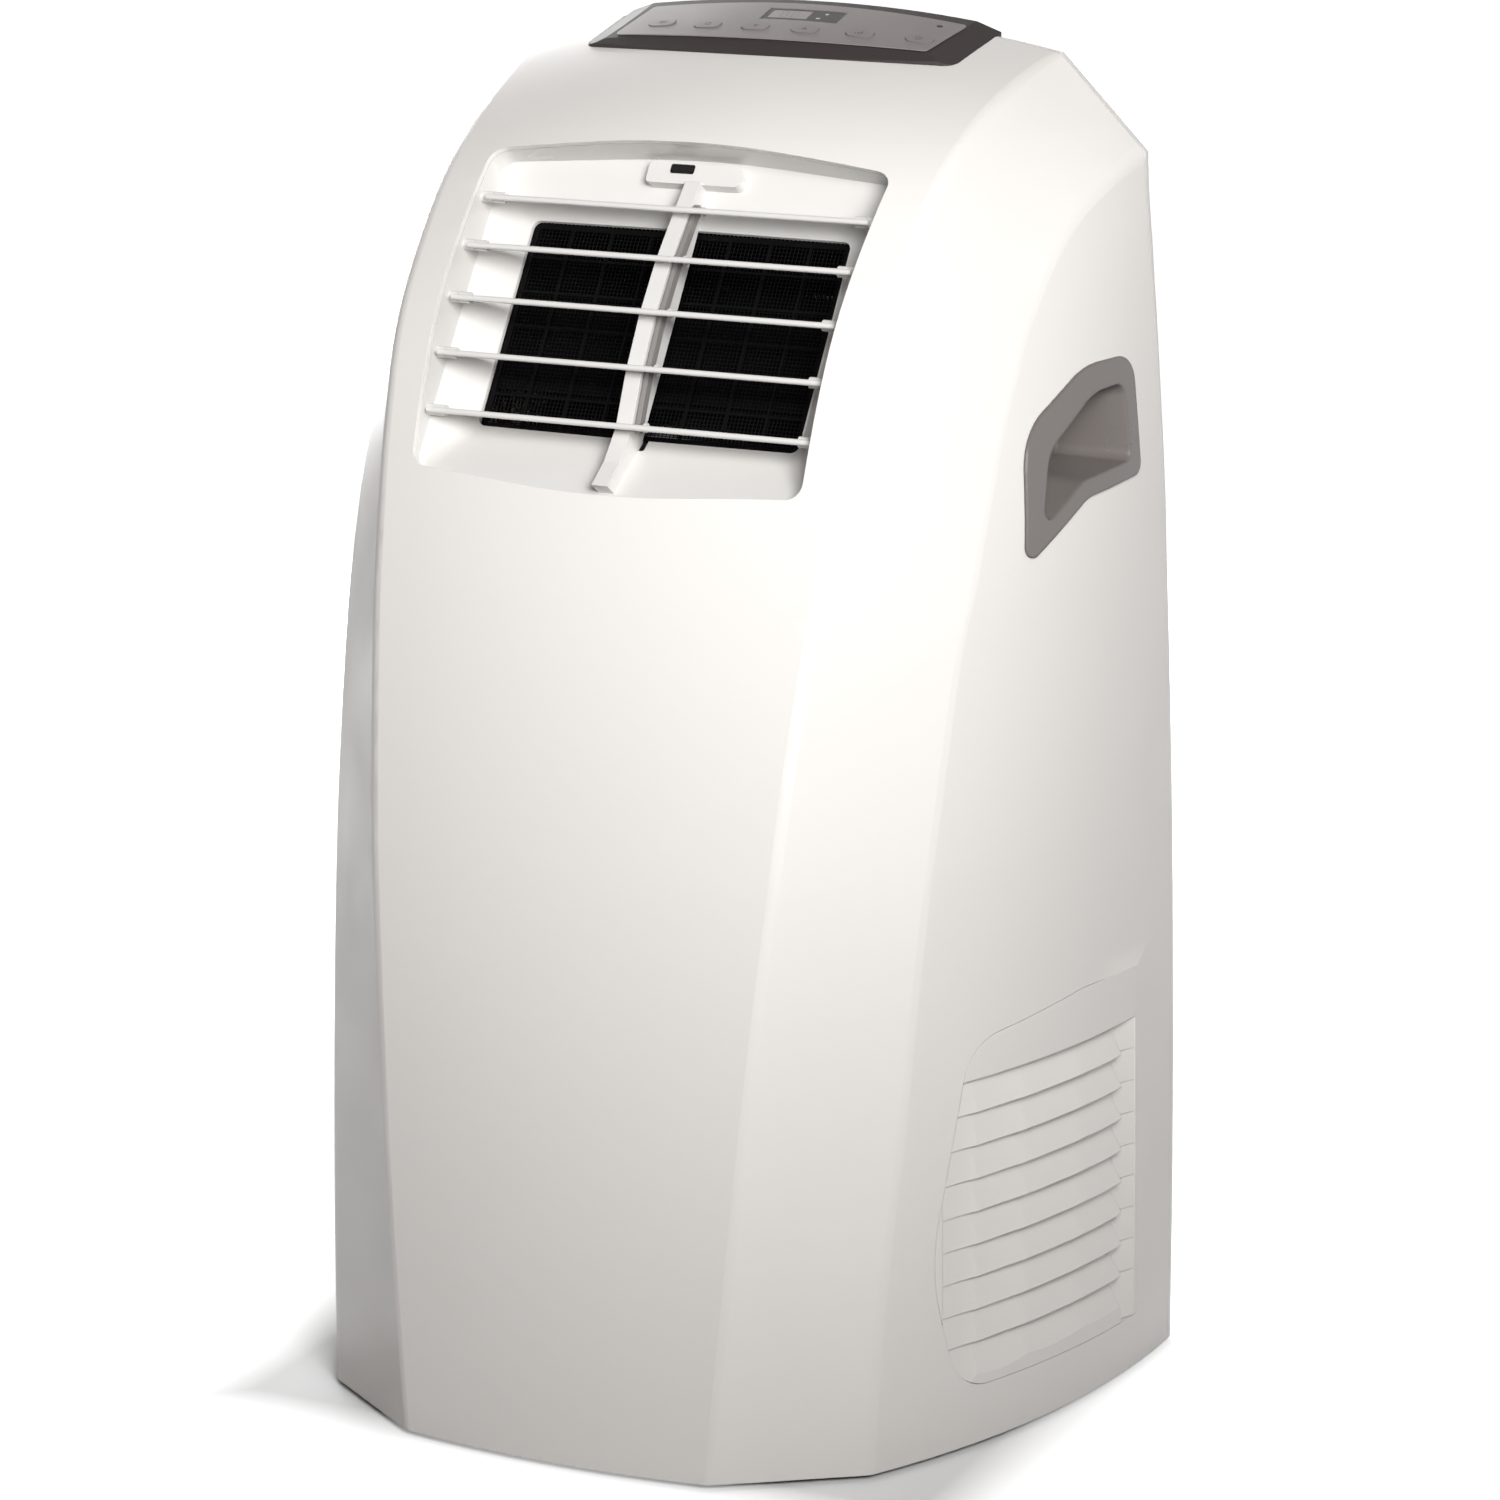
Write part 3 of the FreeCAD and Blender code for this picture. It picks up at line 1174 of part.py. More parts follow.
def blower_wheel(fan):
    """Squirrel-cage wheel with its shaft: a back disc, a ring, and blades between them."""
    x, z, y0, y1, _, radius = fan
    y_front, y_back = y0 + 8.0, y1 - 10.0
    axis = lambda y: V(x, y, z)
    ring_depth = 15.0
    pieces = [rod(axis(y_front), axis(y_front + 2.0), radius),
              tube(axis(y_back - 3.0), axis(y_back), radius, radius - ring_depth),
              rod(axis(y_front), axis(y_front + 22.0), 11.0),
              rod(axis(y0 - 20.0), axis(y_front + 26.0), shaft_radius)]
    blades = 20
    for i in range(blades):
        blade = box(radius - ring_depth, radius - 1.0, y_front + 1, y_back - 1, -0.9, 0.9)
        blade.rotate(V(radius - 8, 0, 0), V(0, 1, 0), 28)
        blade.rotate(V(0, 0, 0), V(0, 1, 0), 360.0 * i / blades)
        blade.translate(V(x, 0, z))
        pieces.append(blade)
    return fused(pieces)


def blower_motor(fan, radius, length):
    """Motor on a scroll's front wall, bored for the wheel's shaft."""
    x, z, y0 = fan[:3]
    end = y0 - fit
    body = rod(V(x, end - length, z), V(x, end, z), radius)
    body = body.makeFillet(4.0, [edge for edge in body.Edges if edge.Closed and edge.BoundBox.YMax < end - 1])
    lugs = [box(x - radius - 9, x + radius + 9, end - 4.0, end, z - 7, z + 7)]
    return fused([body] + lugs).cut(rod(V(x, end - 26.0, z), V(x, end + 1, z), shaft_radius + running))


def electrics_box():
    """Box for the capacitor and the relays, hung under the drain pan, with a lid lip."""
    body = box(20.0, 115.0, -100.0, -34.0, 240.0, tray_z - fit)
    lid = box(17.0, 118.0, -103.0, -99.0, 238.0, tray_z - fit)
    return body.fuse(lid).removeSplitter()


def swing_motor():
    """Small motor beside the funnel that turns the middle blade through a flat gear case."""
    _, back, _ = blade_points(2)
    out = V(wall_at(*blade_tip(2)) + funnel_wall + 0.9, 0, 0)
    start, end = pivot_of(2) + out, pivot_of(2) + back * 27.0 + out
    deep = V(5.0, 0, 0)
    side = V(0, -back.z, back.y) * 5.5
    case = Part.Face(Part.makePolygon([start - side, end - side, end + side, start + side, start - side]))
    return fused([case.extrude(deep), rod(start, start + deep, 5.5), rod(end, end + deep * 4, 13.0)])


def bent_tube(points):
    """A round tube along straight runs with rounded bends."""
    edges = []
    start = points[0]
    for before, corner, after in zip(points, points[1:], points[2:]):
        into, out = (corner - before).normalize(), (after - corner).normalize()
        first, last = corner - into * tube_bend, corner + out * tube_bend
        middle = corner + (out - into).normalize() * (tube_bend * (math.sqrt(2) - 1))
        edges.append(Part.LineSegment(start, first).toShape())
        edges.append(Part.Arc(first, middle, last).toShape())
        start = last
    edges.append(Part.LineSegment(start, points[-1]).toShape())
    ring = Part.Wire(Part.makeCircle(tube_radius, points[0], points[1] - points[0]))
    return Part.Wire(edges).makePipeShell([ring], True, False)


tube_z = 316.0              # the crossing runs lie just under the drain pan
rear_run_y, front_run_y = 112.0, 98.0
liquid_x, suction_x = -155.0, -159.0
tube_holes = [(liquid_x, rear_run_y), (suction_x, front_run_y)]


def discharge_tube():
    """Hot gas from the compressor's top to the condenser."""
    top = compressor_z1 + dome_height + 6.0 + fit
    return bent_tube([V(compressor_x, compressor_y, top), V(compressor_x, compressor_y, tube_z),
                      V(compressor_x, front_run_y, tube_z), V(condenser_x0 - fit, front_run_y, tube_z)])


def liquid_tube():
    """From the bottom of the condenser up to the evaporator."""
    rise_x = -12.0
    return bent_tube([V(condenser_x0 - fit, rear_run_y, 80.0), V(rise_x, rear_run_y, 80.0),
                      V(rise_x, rear_run_y, tube_z), V(liquid_x, rear_run_y, tube_z),
                      V(liquid_x, rear_run_y, 380.0), V(-evaporator_half - fit, rear_run_y, 380.0)])


def suction_tube():
    """From the top of the evaporator down to the accumulator, under the discharge tube."""
    x, low_z = accumulator_axis(), 284.0
    return bent_tube([V(-evaporator_half - fit, front_run_y, 560.0), V(suction_x, front_run_y, 560.0),
                      V(suction_x, front_run_y, tube_z), V(suction_x, compressor_y + 28.0, tube_z),
                      V(suction_x, compressor_y + 28.0, low_z), V(x, compressor_y + 28.0, low_z),
                      V(x, compressor_y, low_z), V(x, compressor_y, 202.0 + fit)])


right_grip, right_grille = handle_cup(), side_grille()
sub_parts = [
    ("front_case", front_case()), ("rear_cover", rear_cover()), ("base_pan", base_pan()),
    ("louver_frame", louver_frame()), ("outlet_guard", outlet_guard()), ("louver_link", louver_link()),
    ("signal_window", window_block(0)), ("swing_motor", swing_motor()),
    ("control_bezel", control_bezel()), ("panel_overlay", panel_overlay()),
    ("display_window", display_window()), ("control_board", control_board()),
    ("handle_cup_right", right_grip), ("handle_cup_left", mirrored(right_grip)),
    ("side_grille_right", right_grille), ("side_grille_left", mirrored(right_grille)),
    ("filter_frame", filter_frame()), ("hose_collar", hose_collar()), ("cord_gland", cord_gland()),
    ("case_screws", case_screws()), ("compressor", compressor()), ("compressor_feet", compressor_feet()),
    ("accumulator", accumulator()), ("condenser_coil", condenser_coil()),
    ("evaporator_coil", evaporator_coil()), ("drain_pan", drain_pan()),
    ("condenser_scroll", condenser_scroll()), ("evaporator_scroll", evaporator_scroll()),
    ("condenser_wheel", blower_wheel(condenser_fan)), ("evaporator_wheel", blower_wheel(evaporator_fan)),
    ("condenser_motor", blower_motor(condenser_fan, 40.0, 42.0)),
    ("evaporator_motor", blower_motor(evaporator_fan, 42.0, 38.0)),
    ("electrics_box", electrics_box()), ("discharge_tube", discharge_tube()),
    ("liquid_tube", liquid_tube()), ("suction_tube", suction_tube()),
]
sub_parts += [("louver_blade_%d" % (i + 1), louver_blade(i)) for i in range(blade_count)]
sub_parts += [("panel_key_%d" % (i + 1), panel_key(i)) for i in range(len(key_seats))]
for i, spot in enumerate(caster_spots):
    sub_parts += [("caster_fork_%d" % (i + 1), caster_fork(*spot)), ("caster_wheel_%d" % (i + 1), caster_wheel(*spot))]
sub_parts += [(name, drain_plug(x, z)) for name, x, z in drains]
for node, shape in sub_parts:
    save(node, shape)
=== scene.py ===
"""Looks of a tall portable air conditioner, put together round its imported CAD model."""
import math

import bmesh
import bpy
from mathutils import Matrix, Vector
from mathutils.bvhtree import BVHTree


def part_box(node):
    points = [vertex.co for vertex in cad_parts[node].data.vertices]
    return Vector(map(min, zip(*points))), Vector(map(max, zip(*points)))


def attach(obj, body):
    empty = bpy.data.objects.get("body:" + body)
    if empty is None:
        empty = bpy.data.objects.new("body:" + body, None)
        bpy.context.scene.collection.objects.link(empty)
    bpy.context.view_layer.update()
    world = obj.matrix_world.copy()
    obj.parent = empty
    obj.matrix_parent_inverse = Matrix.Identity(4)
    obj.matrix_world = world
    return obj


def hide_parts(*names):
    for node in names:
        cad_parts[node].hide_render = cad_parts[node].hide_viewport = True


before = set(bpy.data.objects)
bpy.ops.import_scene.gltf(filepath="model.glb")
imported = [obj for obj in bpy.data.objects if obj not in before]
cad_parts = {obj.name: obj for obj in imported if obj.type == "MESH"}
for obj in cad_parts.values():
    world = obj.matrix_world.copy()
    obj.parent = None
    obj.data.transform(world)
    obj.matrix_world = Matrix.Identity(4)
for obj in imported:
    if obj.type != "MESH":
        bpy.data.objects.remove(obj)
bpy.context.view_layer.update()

# ---------------------------------------------------------------------------------------------
# The camera: a long lens off the cabinet's front right. It stands a little above the cabinet's
# top and looks slightly down, so that the control panel shows too.
# ---------------------------------------------------------------------------------------------
camera_aim = Vector((-0.41654, 0.87487, -0.24716))
camera = bpy.data.objects.new("camera", bpy.data.cameras.new("camera"))
camera.data.lens = 121.6
camera.data.sensor_width = 36.0
camera.location = (1.0949, -2.2328, 0.9624)
camera.rotation_euler = camera_aim.to_track_quat("-Z", "Y").to_euler()
bpy.context.scene.collection.objects.link(camera)
bpy.context.scene.camera = camera
bpy.context.scene.view_settings.view_transform = "Standard"


# ---------------------------------------------------------------------------------------------
# The floor: a sheet of matt white paper that runs out of sight. It shows as plain white, keeps
# the cabinet's shadow, is painted darkest right under the skirt, where its glow fades out, and
# throws little light back up.
# ---------------------------------------------------------------------------------------------
def linear(code):
    """The linear colour of an sRGB hex code."""
    shares = [int(code[i:i + 2], 16) / 255 for i in (1, 3, 5)]
    return [s / 12.92 if s <= 0.04045 else ((s + 0.055) / 1.055) ** 2.4 for s in shares] + [1.0]


def add(owner, kind, inputs=(), **settings):
    """Adds a node with its settings, and gives its inputs values or links them to other nodes."""
    made = owner.node_tree.nodes.new("ShaderNode" + kind)
    for name, value in settings.items():
        setattr(made, name, value)
    for name, value in dict(inputs).items():
        if isinstance(value, bpy.types.Node):
            value = value.outputs[0]
        if isinstance(value, bpy.types.NodeSocket):
            owner.node_tree.links.new(value, made.inputs[name])
        else:
            made.inputs[name].default_value = value
    return made


def empty_material(name):
    """A material with no nodes yet."""
    material = bpy.data.materials.new(name)
    material.use_nodes = True
    material.node_tree.nodes.clear()
    return material


def seen_directly(owner):
    """1 for a ray that looks at the background, straight or by a mirror or a pane, else 0."""
    path = add(owner, "LightPath")
    unbent = add(owner, "Math", {0: path.outputs["Is Camera Ray"],
                                 1: path.outputs["Is Glossy Ray"]}, operation="MAXIMUM")
    return add(owner, "Math", {0: unbent, 1: path.outputs["Is Transmission Ray"]},
               operation="MAXIMUM")


def mesh_object(name, points, faces, material):
    """A mesh object from its points and faces, in metres."""
    mesh = bpy.data.meshes.new(name)
    mesh.from_pydata([tuple(point) for point in points], [], faces)
    mesh.update()
    mesh.materials.append(material)
    made = bpy.data.objects.new(name, mesh)
    bpy.context.scene.collection.objects.link(made)
    return made


white = (1, 1, 1, 1)
floor_reach = 30
fibres_per_metre, fibre_height = 900.0, 0.0002
skirt_half_width, skirt_half_depth, skirt_forward = 0.215, 0.155, 0.010
paper = empty_material("matt_white_paper")
spot = add(paper, "TexCoord").outputs["Object"]
fibres = add(paper, "TexNoise", {"Vector": spot, "Scale": fibres_per_metre})
lit = add(paper, "BsdfDiffuse", {
    "Color": linear("#f4f4f4"),
    "Normal": add(paper, "Bump", {"Height": fibres, "Strength": 0.05, "Distance": fibre_height})})
parts_of_spot = add(paper, "SeparateXYZ", {0: spot})
aside = add(paper, "Math", {0: parts_of_spot.outputs["X"]}, operation="ABSOLUTE")
from_skirt_middle = add(paper, "Math", {0: parts_of_spot.outputs["Y"], 1: skirt_forward},
                        operation="ADD")
along = add(paper, "Math", {0: from_skirt_middle}, operation="ABSOLUTE")
beyond_side = add(paper, "Math", {0: aside, 1: skirt_half_width}, operation="SUBTRACT")
beyond_front = add(paper, "Math", {0: along, 1: skirt_half_depth}, operation="SUBTRACT")
beyond = add(paper, "Math", {0: beyond_side, 1: beyond_front}, operation="MAXIMUM")
# The glow near the skirt fades out under it and just round it: painted shade beneath the cabinet.
glow_painted_dark_under_skirt, far_glow = [
    add(paper, "MapRange", {"Value": beyond, "From Min": starts, "From Max": ends,
                            "To Min": 0.0, "To Max": strength})
    for starts, ends, strength in ((-0.03, 0.02, 0.8), (0.3, 1.5, 0.2))]
floor_glow_with_painted_skirt_shade = add(paper, "Math", {0: glow_painted_dark_under_skirt, 1: far_glow}, operation="ADD")
emission_with_painted_skirt_shade = add(paper, "Emission", {"Color": white, "Strength": floor_glow_with_painted_skirt_shade})
shown = add(paper, "AddShader", {0: lit, 1: emission_with_painted_skirt_shade})
dull = add(paper, "BsdfDiffuse", {"Color": linear("#8c8a88")})
add(paper, "OutputMaterial", {
    "Surface": add(paper, "MixShader", {0: seen_directly(paper), 1: dull, 2: shown})})
floor = mesh_object("floor", [(-floor_reach, -floor_reach, 0), (floor_reach, -floor_reach, 0),
                              (floor_reach, floor_reach, 0), (-floor_reach, floor_reach, 0)],
                    [(0, 1, 2, 3)], paper)

# ---------------------------------------------------------------------------------------------
# The light: a soft box with a grid off the front right, another behind the cabinet's left that
# lights its back, and a dim room. Its backdrop is white up to head height and grey overhead.
# ---------------------------------------------------------------------------------------------
wall_light, backdrop_light, ceiling_light = 0.15, 1.0, 0.35
head_height, ceiling_height = 0.40, 0.75
room = bpy.data.worlds.new("room")
room.use_nodes = True
room.node_tree.nodes.clear()
height = add(room, "SeparateXYZ", {0: add(room, "TexCoord").outputs["Generated"]}).outputs["Z"]
overhead = add(room, "MapRange", {"Value": height, "From Min": head_height,
                                  "From Max": ceiling_height, "To Min": backdrop_light,
                                  "To Max": ceiling_light})
walls = add(room, "Background", {"Color": white, "Strength": wall_light})
backdrop = add(room, "Background", {"Color": white, "Strength": overhead})
add(room, "OutputWorld", {
    "Surface": add(room, "MixShader", {0: seen_directly(room), 1: walls, 2: backdrop})})
bpy.context.scene.world = room

for name, place, aim, size, spread, power in (
        ("front_soft_box", (0.95, -1.20, 1.14), (0.01, -0.15, 0.63), 0.8, 62.0, 6.0),
        ("back_soft_box", (-1.10, 1.50, 0.80), (-0.03, 0.08, 0.38), 1.2, 180.0, 30.0)):
    lamp = bpy.data.lights.new(name, "AREA")
    lamp.size, lamp.energy, lamp.spread = size, power, math.radians(spread)
    stand = bpy.data.objects.new(name, lamp)
    stand.location = place
    stand.rotation_euler = (Vector(aim) - Vector(place)).to_track_quat("-Z", "Y").to_euler()
    bpy.context.scene.collection.objects.link(stand)


# ---------------------------------------------------------------------------------------------
# The base pan: one deep moulding in dark grey polypropylene that everything stands on. It is
# seen only from below and behind, so its tool was left coarse: a dull skin with a broad grain.
# ---------------------------------------------------------------------------------------------
def darker(colour, share):
    """A colour with a share of its light taken away."""
    return [part * (1 - share) for part in colour[:3]] + [1.0]


# A noise pattern stays mostly between these two.
noise_low, noise_high = 0.3, 0.7


def moulded(name, colour, roughness, grain, relief, radius=0.0005, ior=1.53, drift=0.03,
            specular=0.5):
    """A moulded plastic: the size and height of its grain, its edge radius, its colour drift."""
    flow_marks_per_metre, gloss_marks_per_metre, gloss_swing = 7.0, 23.0, 0.04
    material = empty_material(name)
    place = add(material, "TexCoord").outputs["Object"]
    flow = add(material, "TexNoise", {"Vector": place, "Scale": flow_marks_per_metre,
                                      "Detail": 3.0, "Roughness": 0.4})
    light = linear(colour)
    tint = add(material, "Mix", {0: flow, 6: darker(light, drift), 7: light},
               data_type="RGBA").outputs[2]
    gloss = add(material, "TexNoise", {"Vector": place, "Scale": gloss_marks_per_metre,
                                       "Detail": 2.0})
    rough = add(material, "MapRange", {
        "Value": gloss, "From Min": noise_low, "From Max": noise_high,
        "To Min": roughness - gloss_swing, "To Max": roughness + gloss_swing})
    pits = add(material, "TexNoise", {"Vector": place, "Scale": 1 / grain, "Detail": 1.0})
    edge = add(material, "Bevel", {"Radius": radius}, samples=4)
    skin = add(material, "Bump", {"Height": pits, "Strength": 1.0, "Distance": relief,
                                  "Normal": edge})
    surface = add(material, "BsdfPrincipled", {
        "Base Color": tint, "Roughness": rough, "IOR": ior, "Specular IOR Level": specular,
        "Normal": skin})
    add(material, "OutputMaterial", {"Surface": surface})
    return material


def finish_nodes(material, *names):
    """Gives CAD nodes their finish."""
    for name in names:
        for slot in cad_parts[name].material_slots:
            slot.material = material


finish_nodes(moulded("grained_grey_polypropylene", "#4b4a49", roughness=0.52, grain=0.0014,
                     relief=0.00003, radius=0.0006, ior=1.49), "base_pan")


# ---------------------------------------------------------------------------------------------
# Four castors: a swivelling fork and a wheel each, in black glass-filled nylon. The glass
# mottles its satin skin faintly, and the floor scuffs the treads dull and grey.
# ---------------------------------------------------------------------------------------------
def numbered(name, count):
    """The names of like nodes, from name_1 on."""
    return ["%s_%d" % (name, number) for number in range(1, count + 1)]


finish_nodes(moulded("glass_filled_black_nylon", "#1b1b1c", roughness=0.42, grain=0.0006,
                     relief=0.00001, radius=0.0004, drift=0.25), *numbered("caster_fork", 4))
finish_nodes(moulded("scuffed_black_nylon", "#2a2a2b", roughness=0.60, grain=0.0011,
                     relief=0.00004, drift=0.45), *numbered("caster_wheel", 4))

# ---------------------------------------------------------------------------------------------
# The compressor and its accumulator: deep-drawn steel cans, welded and dipped in black enamel,
# a thick, shining coat that ripples. Three feet in dull black rubber stop their hum.
# ---------------------------------------------------------------------------------------------
finish_nodes(moulded("dipped_black_enamel", "#17181a", roughness=0.22, grain=0.006,
                     relief=0.00006, radius=0.0010, ior=1.50, drift=0.2),
             "compressor", "accumulator")
black_rubber = moulded("moulded_black_rubber", "#161514", roughness=0.72, grain=0.0009,
                       relief=0.00002, radius=0.0006, ior=1.52, drift=0.15)
finish_nodes(black_rubber, "compressor_feet")

# ---------------------------------------------------------------------------------------------
# The ducts: two spiral scrolls with a blower wheel each, and the drain pan between the coils.
# The lower set is moulded in milky natural polypropylene. The upper one, seen through the
# outlet, is moulded in matt black, and that black also paints the shade deep in the duct
# behind the blades.
# ---------------------------------------------------------------------------------------------
finish_nodes(moulded("natural_polypropylene", "#b9b7b0", roughness=0.45, grain=0.0020,
                     relief=0.00002, radius=0.0006, ior=1.49),
             "condenser_scroll", "condenser_wheel", "drain_pan")
black_and_painted_shade_plastic = moulded("matt_black_polypropylene_and_painted_shade", "#050505", roughness=0.62, grain=0.0008,
                       relief=0.00002, radius=0.0003, ior=1.49, drift=0.2, specular=0.1)
# The black of the upper scroll and its wheel is partly painted shade, for the darkness in the duct.
finish_nodes(black_and_painted_shade_plastic, "evaporator_scroll", "evaporator_wheel")


# ---------------------------------------------------------------------------------------------
# The motors and the electrics box: galvanised sheet steel, pressed and folded. The zinc gives
# a satin grey with pale and dark crystals a few millimetres across.
# ---------------------------------------------------------------------------------------------
def metal(name, colour, roughness, mark_size, drift):
    """A bare metal: the size of its marks, and how much they darken its colour."""
    stain_share, gloss_swing, relief, radius = 0.3, 0.07, 0.00001, 0.0004
    material = empty_material(name)
    place = add(material, "TexCoord").outputs["Object"]
    marks = add(material, "TexVoronoi", {"Vector": place, "Scale": 1 / mark_size})
    stain = add(material, "TexNoise", {"Vector": place, "Scale": stain_share / mark_size,
                                       "Detail": 4.0})
    blend = add(material, "Math", {0: marks.outputs["Distance"], 1: stain},
                operation="MULTIPLY")
    light = linear(colour)
    tint = add(material, "Mix", {0: blend, 6: darker(light, drift), 7: light},
               data_type="RGBA").outputs[2]
    rough = add(material, "MapRange", {
        "Value": stain, "From Min": noise_low, "From Max": noise_high,
        "To Min": roughness - gloss_swing, "To Max": roughness + gloss_swing})
    edge = add(material, "Bevel", {"Radius": radius}, samples=4)
    skin = add(material, "Bump", {"Height": stain, "Strength": 1.0, "Distance": relief,
                                  "Normal": edge})
    surface = add(material, "BsdfPrincipled", {
        "Base Color": tint, "Metallic": 1.0, "Roughness": rough, "Normal": skin})
    add(material, "OutputMaterial", {"Surface": surface})
    return material


finish_nodes(metal("galvanised_steel", "#b4b7b9", roughness=0.38, mark_size=0.004, drift=0.35),
             "condenser_motor", "evaporator_motor", "electrics_box")

# ---------------------------------------------------------------------------------------------
# The coils: stacks of thin pressed aluminium fins on copper tubes. The fins stand upright, about
# 1.5 mm apart, drawn as 2.4 mm so that they show: bright crests, with painted shade in the dark
# gaps between them.
# ---------------------------------------------------------------------------------------------
fin_pitch, fin_height, dents_per_metre = 0.0024, 0.0004, 60.0
gap_below, flat_above = -0.5, 0.6
smoothest, roughest = 0.25, 0.5
fins = empty_material("pressed_aluminium_fins")
fin_place = add(fins, "TexCoord").outputs["Object"]
across = add(fins, "SeparateXYZ", {0: fin_place}).outputs["X"]
turns = add(fins, "Math", {0: across, 1: math.tau / fin_pitch}, operation="MULTIPLY")
wave = add(fins, "Math", {0: turns}, operation="SINE")
crest_and_painted_gap_shade = add(fins, "MapRange", {"Value": wave, "From Min": gap_below, "From Max": flat_above})
dents = add(fins, "TexNoise", {"Vector": fin_place, "Scale": dents_per_metre, "Detail": 3.0})
# The dark colour between the fins is painted shade in the gaps.
fin_colour_with_painted_gap_shade = add(fins, "Mix", {0: crest_and_painted_gap_shade, 6: linear("#3c3e40"), 7: linear("#c5c9cb")},
                 data_type="RGBA").outputs[2]
fin_rough = add(fins, "MapRange", {"Value": dents, "To Min": smoothest, "To Max": roughest})
fin_skin = add(fins, "Bump", {"Height": crest_and_painted_gap_shade, "Strength": 1.0, "Distance": fin_height})
add(fins, "OutputMaterial", {"Surface": add(fins, "BsdfPrincipled", {
    "Base Color": fin_colour_with_painted_gap_shade, "Metallic": 0.9, "Roughness": fin_rough, "Normal": fin_skin})})
finish_nodes(fins, "condenser_coil", "evaporator_coil")

# ---------------------------------------------------------------------------------------------
# The refrigerant tubes: drawn copper, bent, and brazed to the compressor and the coils. The
# drawn wall is bright, and the torch has left brown patches on it.
# ---------------------------------------------------------------------------------------------
finish_nodes(metal("drawn_copper", "#c88a6a", roughness=0.30, mark_size=0.008, drift=0.55),
             "discharge_tube", "liquid_tube", "suction_tube")

# ---------------------------------------------------------------------------------------------
# The front case, the rear cover and the side grilles, moulded in warm white ABS. The tool is
# lightly spark-eroded, so the skin is satin with a fine grain. Its colour and gloss drift where
# the melt flowed, and its edges are rounded by about half a millimetre.
# ---------------------------------------------------------------------------------------------
finish_nodes(moulded("satin_warm_white_abs", "#e2deda", roughness=0.36, grain=0.0011,
                     relief=0.000012),
             "front_case", "rear_cover", "side_grille_right", "side_grille_left")

# ---------------------------------------------------------------------------------------------
# The side grips: pockets of mid-grey polypropylene that clip in behind the cabinet's skin. The
# tool is smooth there, so rims and inner corners catch soft highlights.
# ---------------------------------------------------------------------------------------------
finish_nodes(moulded("smooth_grey_polypropylene", "#726c69", roughness=0.24, grain=0.0009,
                     relief=0.000006, radius=0.0025, ior=1.49),
             "handle_cup_right", "handle_cup_left")

# ---------------------------------------------------------------------------------------------
# The air outlet: funnel and five blades in a cooler and glossier white ABS than the cabinet's.
# The blades turn on their end pins, and a link in slippery acetal keeps them parallel; its grey
# is painted shade.
# ---------------------------------------------------------------------------------------------
finish_nodes(moulded("polished_white_abs", "#d6d4d1", roughness=0.24, grain=0.0016,
                     relief=0.000005, radius=0.0004),
             "louver_frame", *numbered("louver_blade", 5))
# The link's grey is painted shade, for the shade it lies in beside the centre rib.
finish_nodes(moulded("acetal_in_painted_shade_grey", "#85827f", roughness=0.32, grain=0.0012, relief=0.000005,
                     radius=0.0004, ior=1.48), "louver_link")

# ---------------------------------------------------------------------------------------------
# The receiver window in the outlet's bracket: acrylic dyed to pass only infrared, so it looks
# black and polished. Beside the funnel, the swing motor's gear case is plain satin grey ABS.
# ---------------------------------------------------------------------------------------------
finish_nodes(moulded("black_infrared_acrylic", "#0b0909", roughness=0.10, grain=0.004,
                     relief=0.000002, radius=0.0003, ior=1.49), "signal_window")
finish_nodes(moulded("grey_gear_case_abs", "#8d8b88", roughness=0.45, grain=0.0010,
                     relief=0.00001), "swing_motor")


# ---------------------------------------------------------------------------------------------
# The guard behind the outlet: a black polypropylene frame with crossing bars, moulded round a
# fine black nylon net that keeps fingers and dust from the blower. Its threads lie 1.2 mm
# apart, drawn as 2 mm so that they show.
# ---------------------------------------------------------------------------------------------
def woven_net(name, middle, right, up, width, height, pitch, thread, material):
    """Upright threads and level threads that cross just behind them, in the plane right, up."""
    sides, layer = 6, 0.35
    out = right.cross(up)
    points, faces = [], []
    for along_way, across_way, length, breadth, raised in ((up, right, height, width, layer),
                                                           (right, up, width, height, -layer)):
        count = int(breadth / pitch)
        for number in range(count + 1):
            shift = (number / count - 0.5) * breadth
            first = len(points)
            for end in (-0.5, 0.5):
                for step in range(sides):
                    turn = math.tau * step / sides
                    points.append(middle + along_way * (end * length)
                                  + across_way * (shift + thread / 2 * math.cos(turn))
                                  + out * (thread * raised + thread / 2 * math.sin(turn)))
            near, far = range(first, first + sides), range(first + sides, first + 2 * sides)
            faces += [(near[i], near[(i + 1) % sides], far[(i + 1) % sides], far[i])
                      for i in range(sides)]
            faces += [tuple(reversed(near)), tuple(far)]
    return mesh_object(name, points, faces, material)


finish_nodes(black_and_painted_shade_plastic, "outlet_guard")
outlet_slope, net_inset = math.radians(56.4), 0.004
outlet_right = Vector((1, 0, 0))
outlet_up = Vector((0, math.cos(outlet_slope), math.sin(outlet_slope)))
outlet_out = outlet_right.cross(outlet_up)
guard_points = [vertex.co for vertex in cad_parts["outlet_guard"].data.vertices]
guard_heights = [point.dot(outlet_up) for point in guard_points]
guard_levels = [point.dot(outlet_out) for point in guard_points]
guard_width = 2 * max(point.x for point in guard_points)
guard_height = max(guard_heights) - min(guard_heights)
guard_middle = (outlet_up * (max(guard_heights) + min(guard_heights)) / 2
                + outlet_out * (max(guard_levels) + min(guard_levels)) / 2)
outlet_net = woven_net(
    "outlet_net", guard_middle, outlet_right, outlet_up, guard_width - net_inset,
    guard_height - net_inset, pitch=0.002, thread=0.00045,
    material=moulded("woven_black_nylon", "#060606", roughness=0.50, grain=0.0006,
                     relief=0.00001, radius=0.0001, drift=0.2, specular=0.15))
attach(outlet_net, "casing")

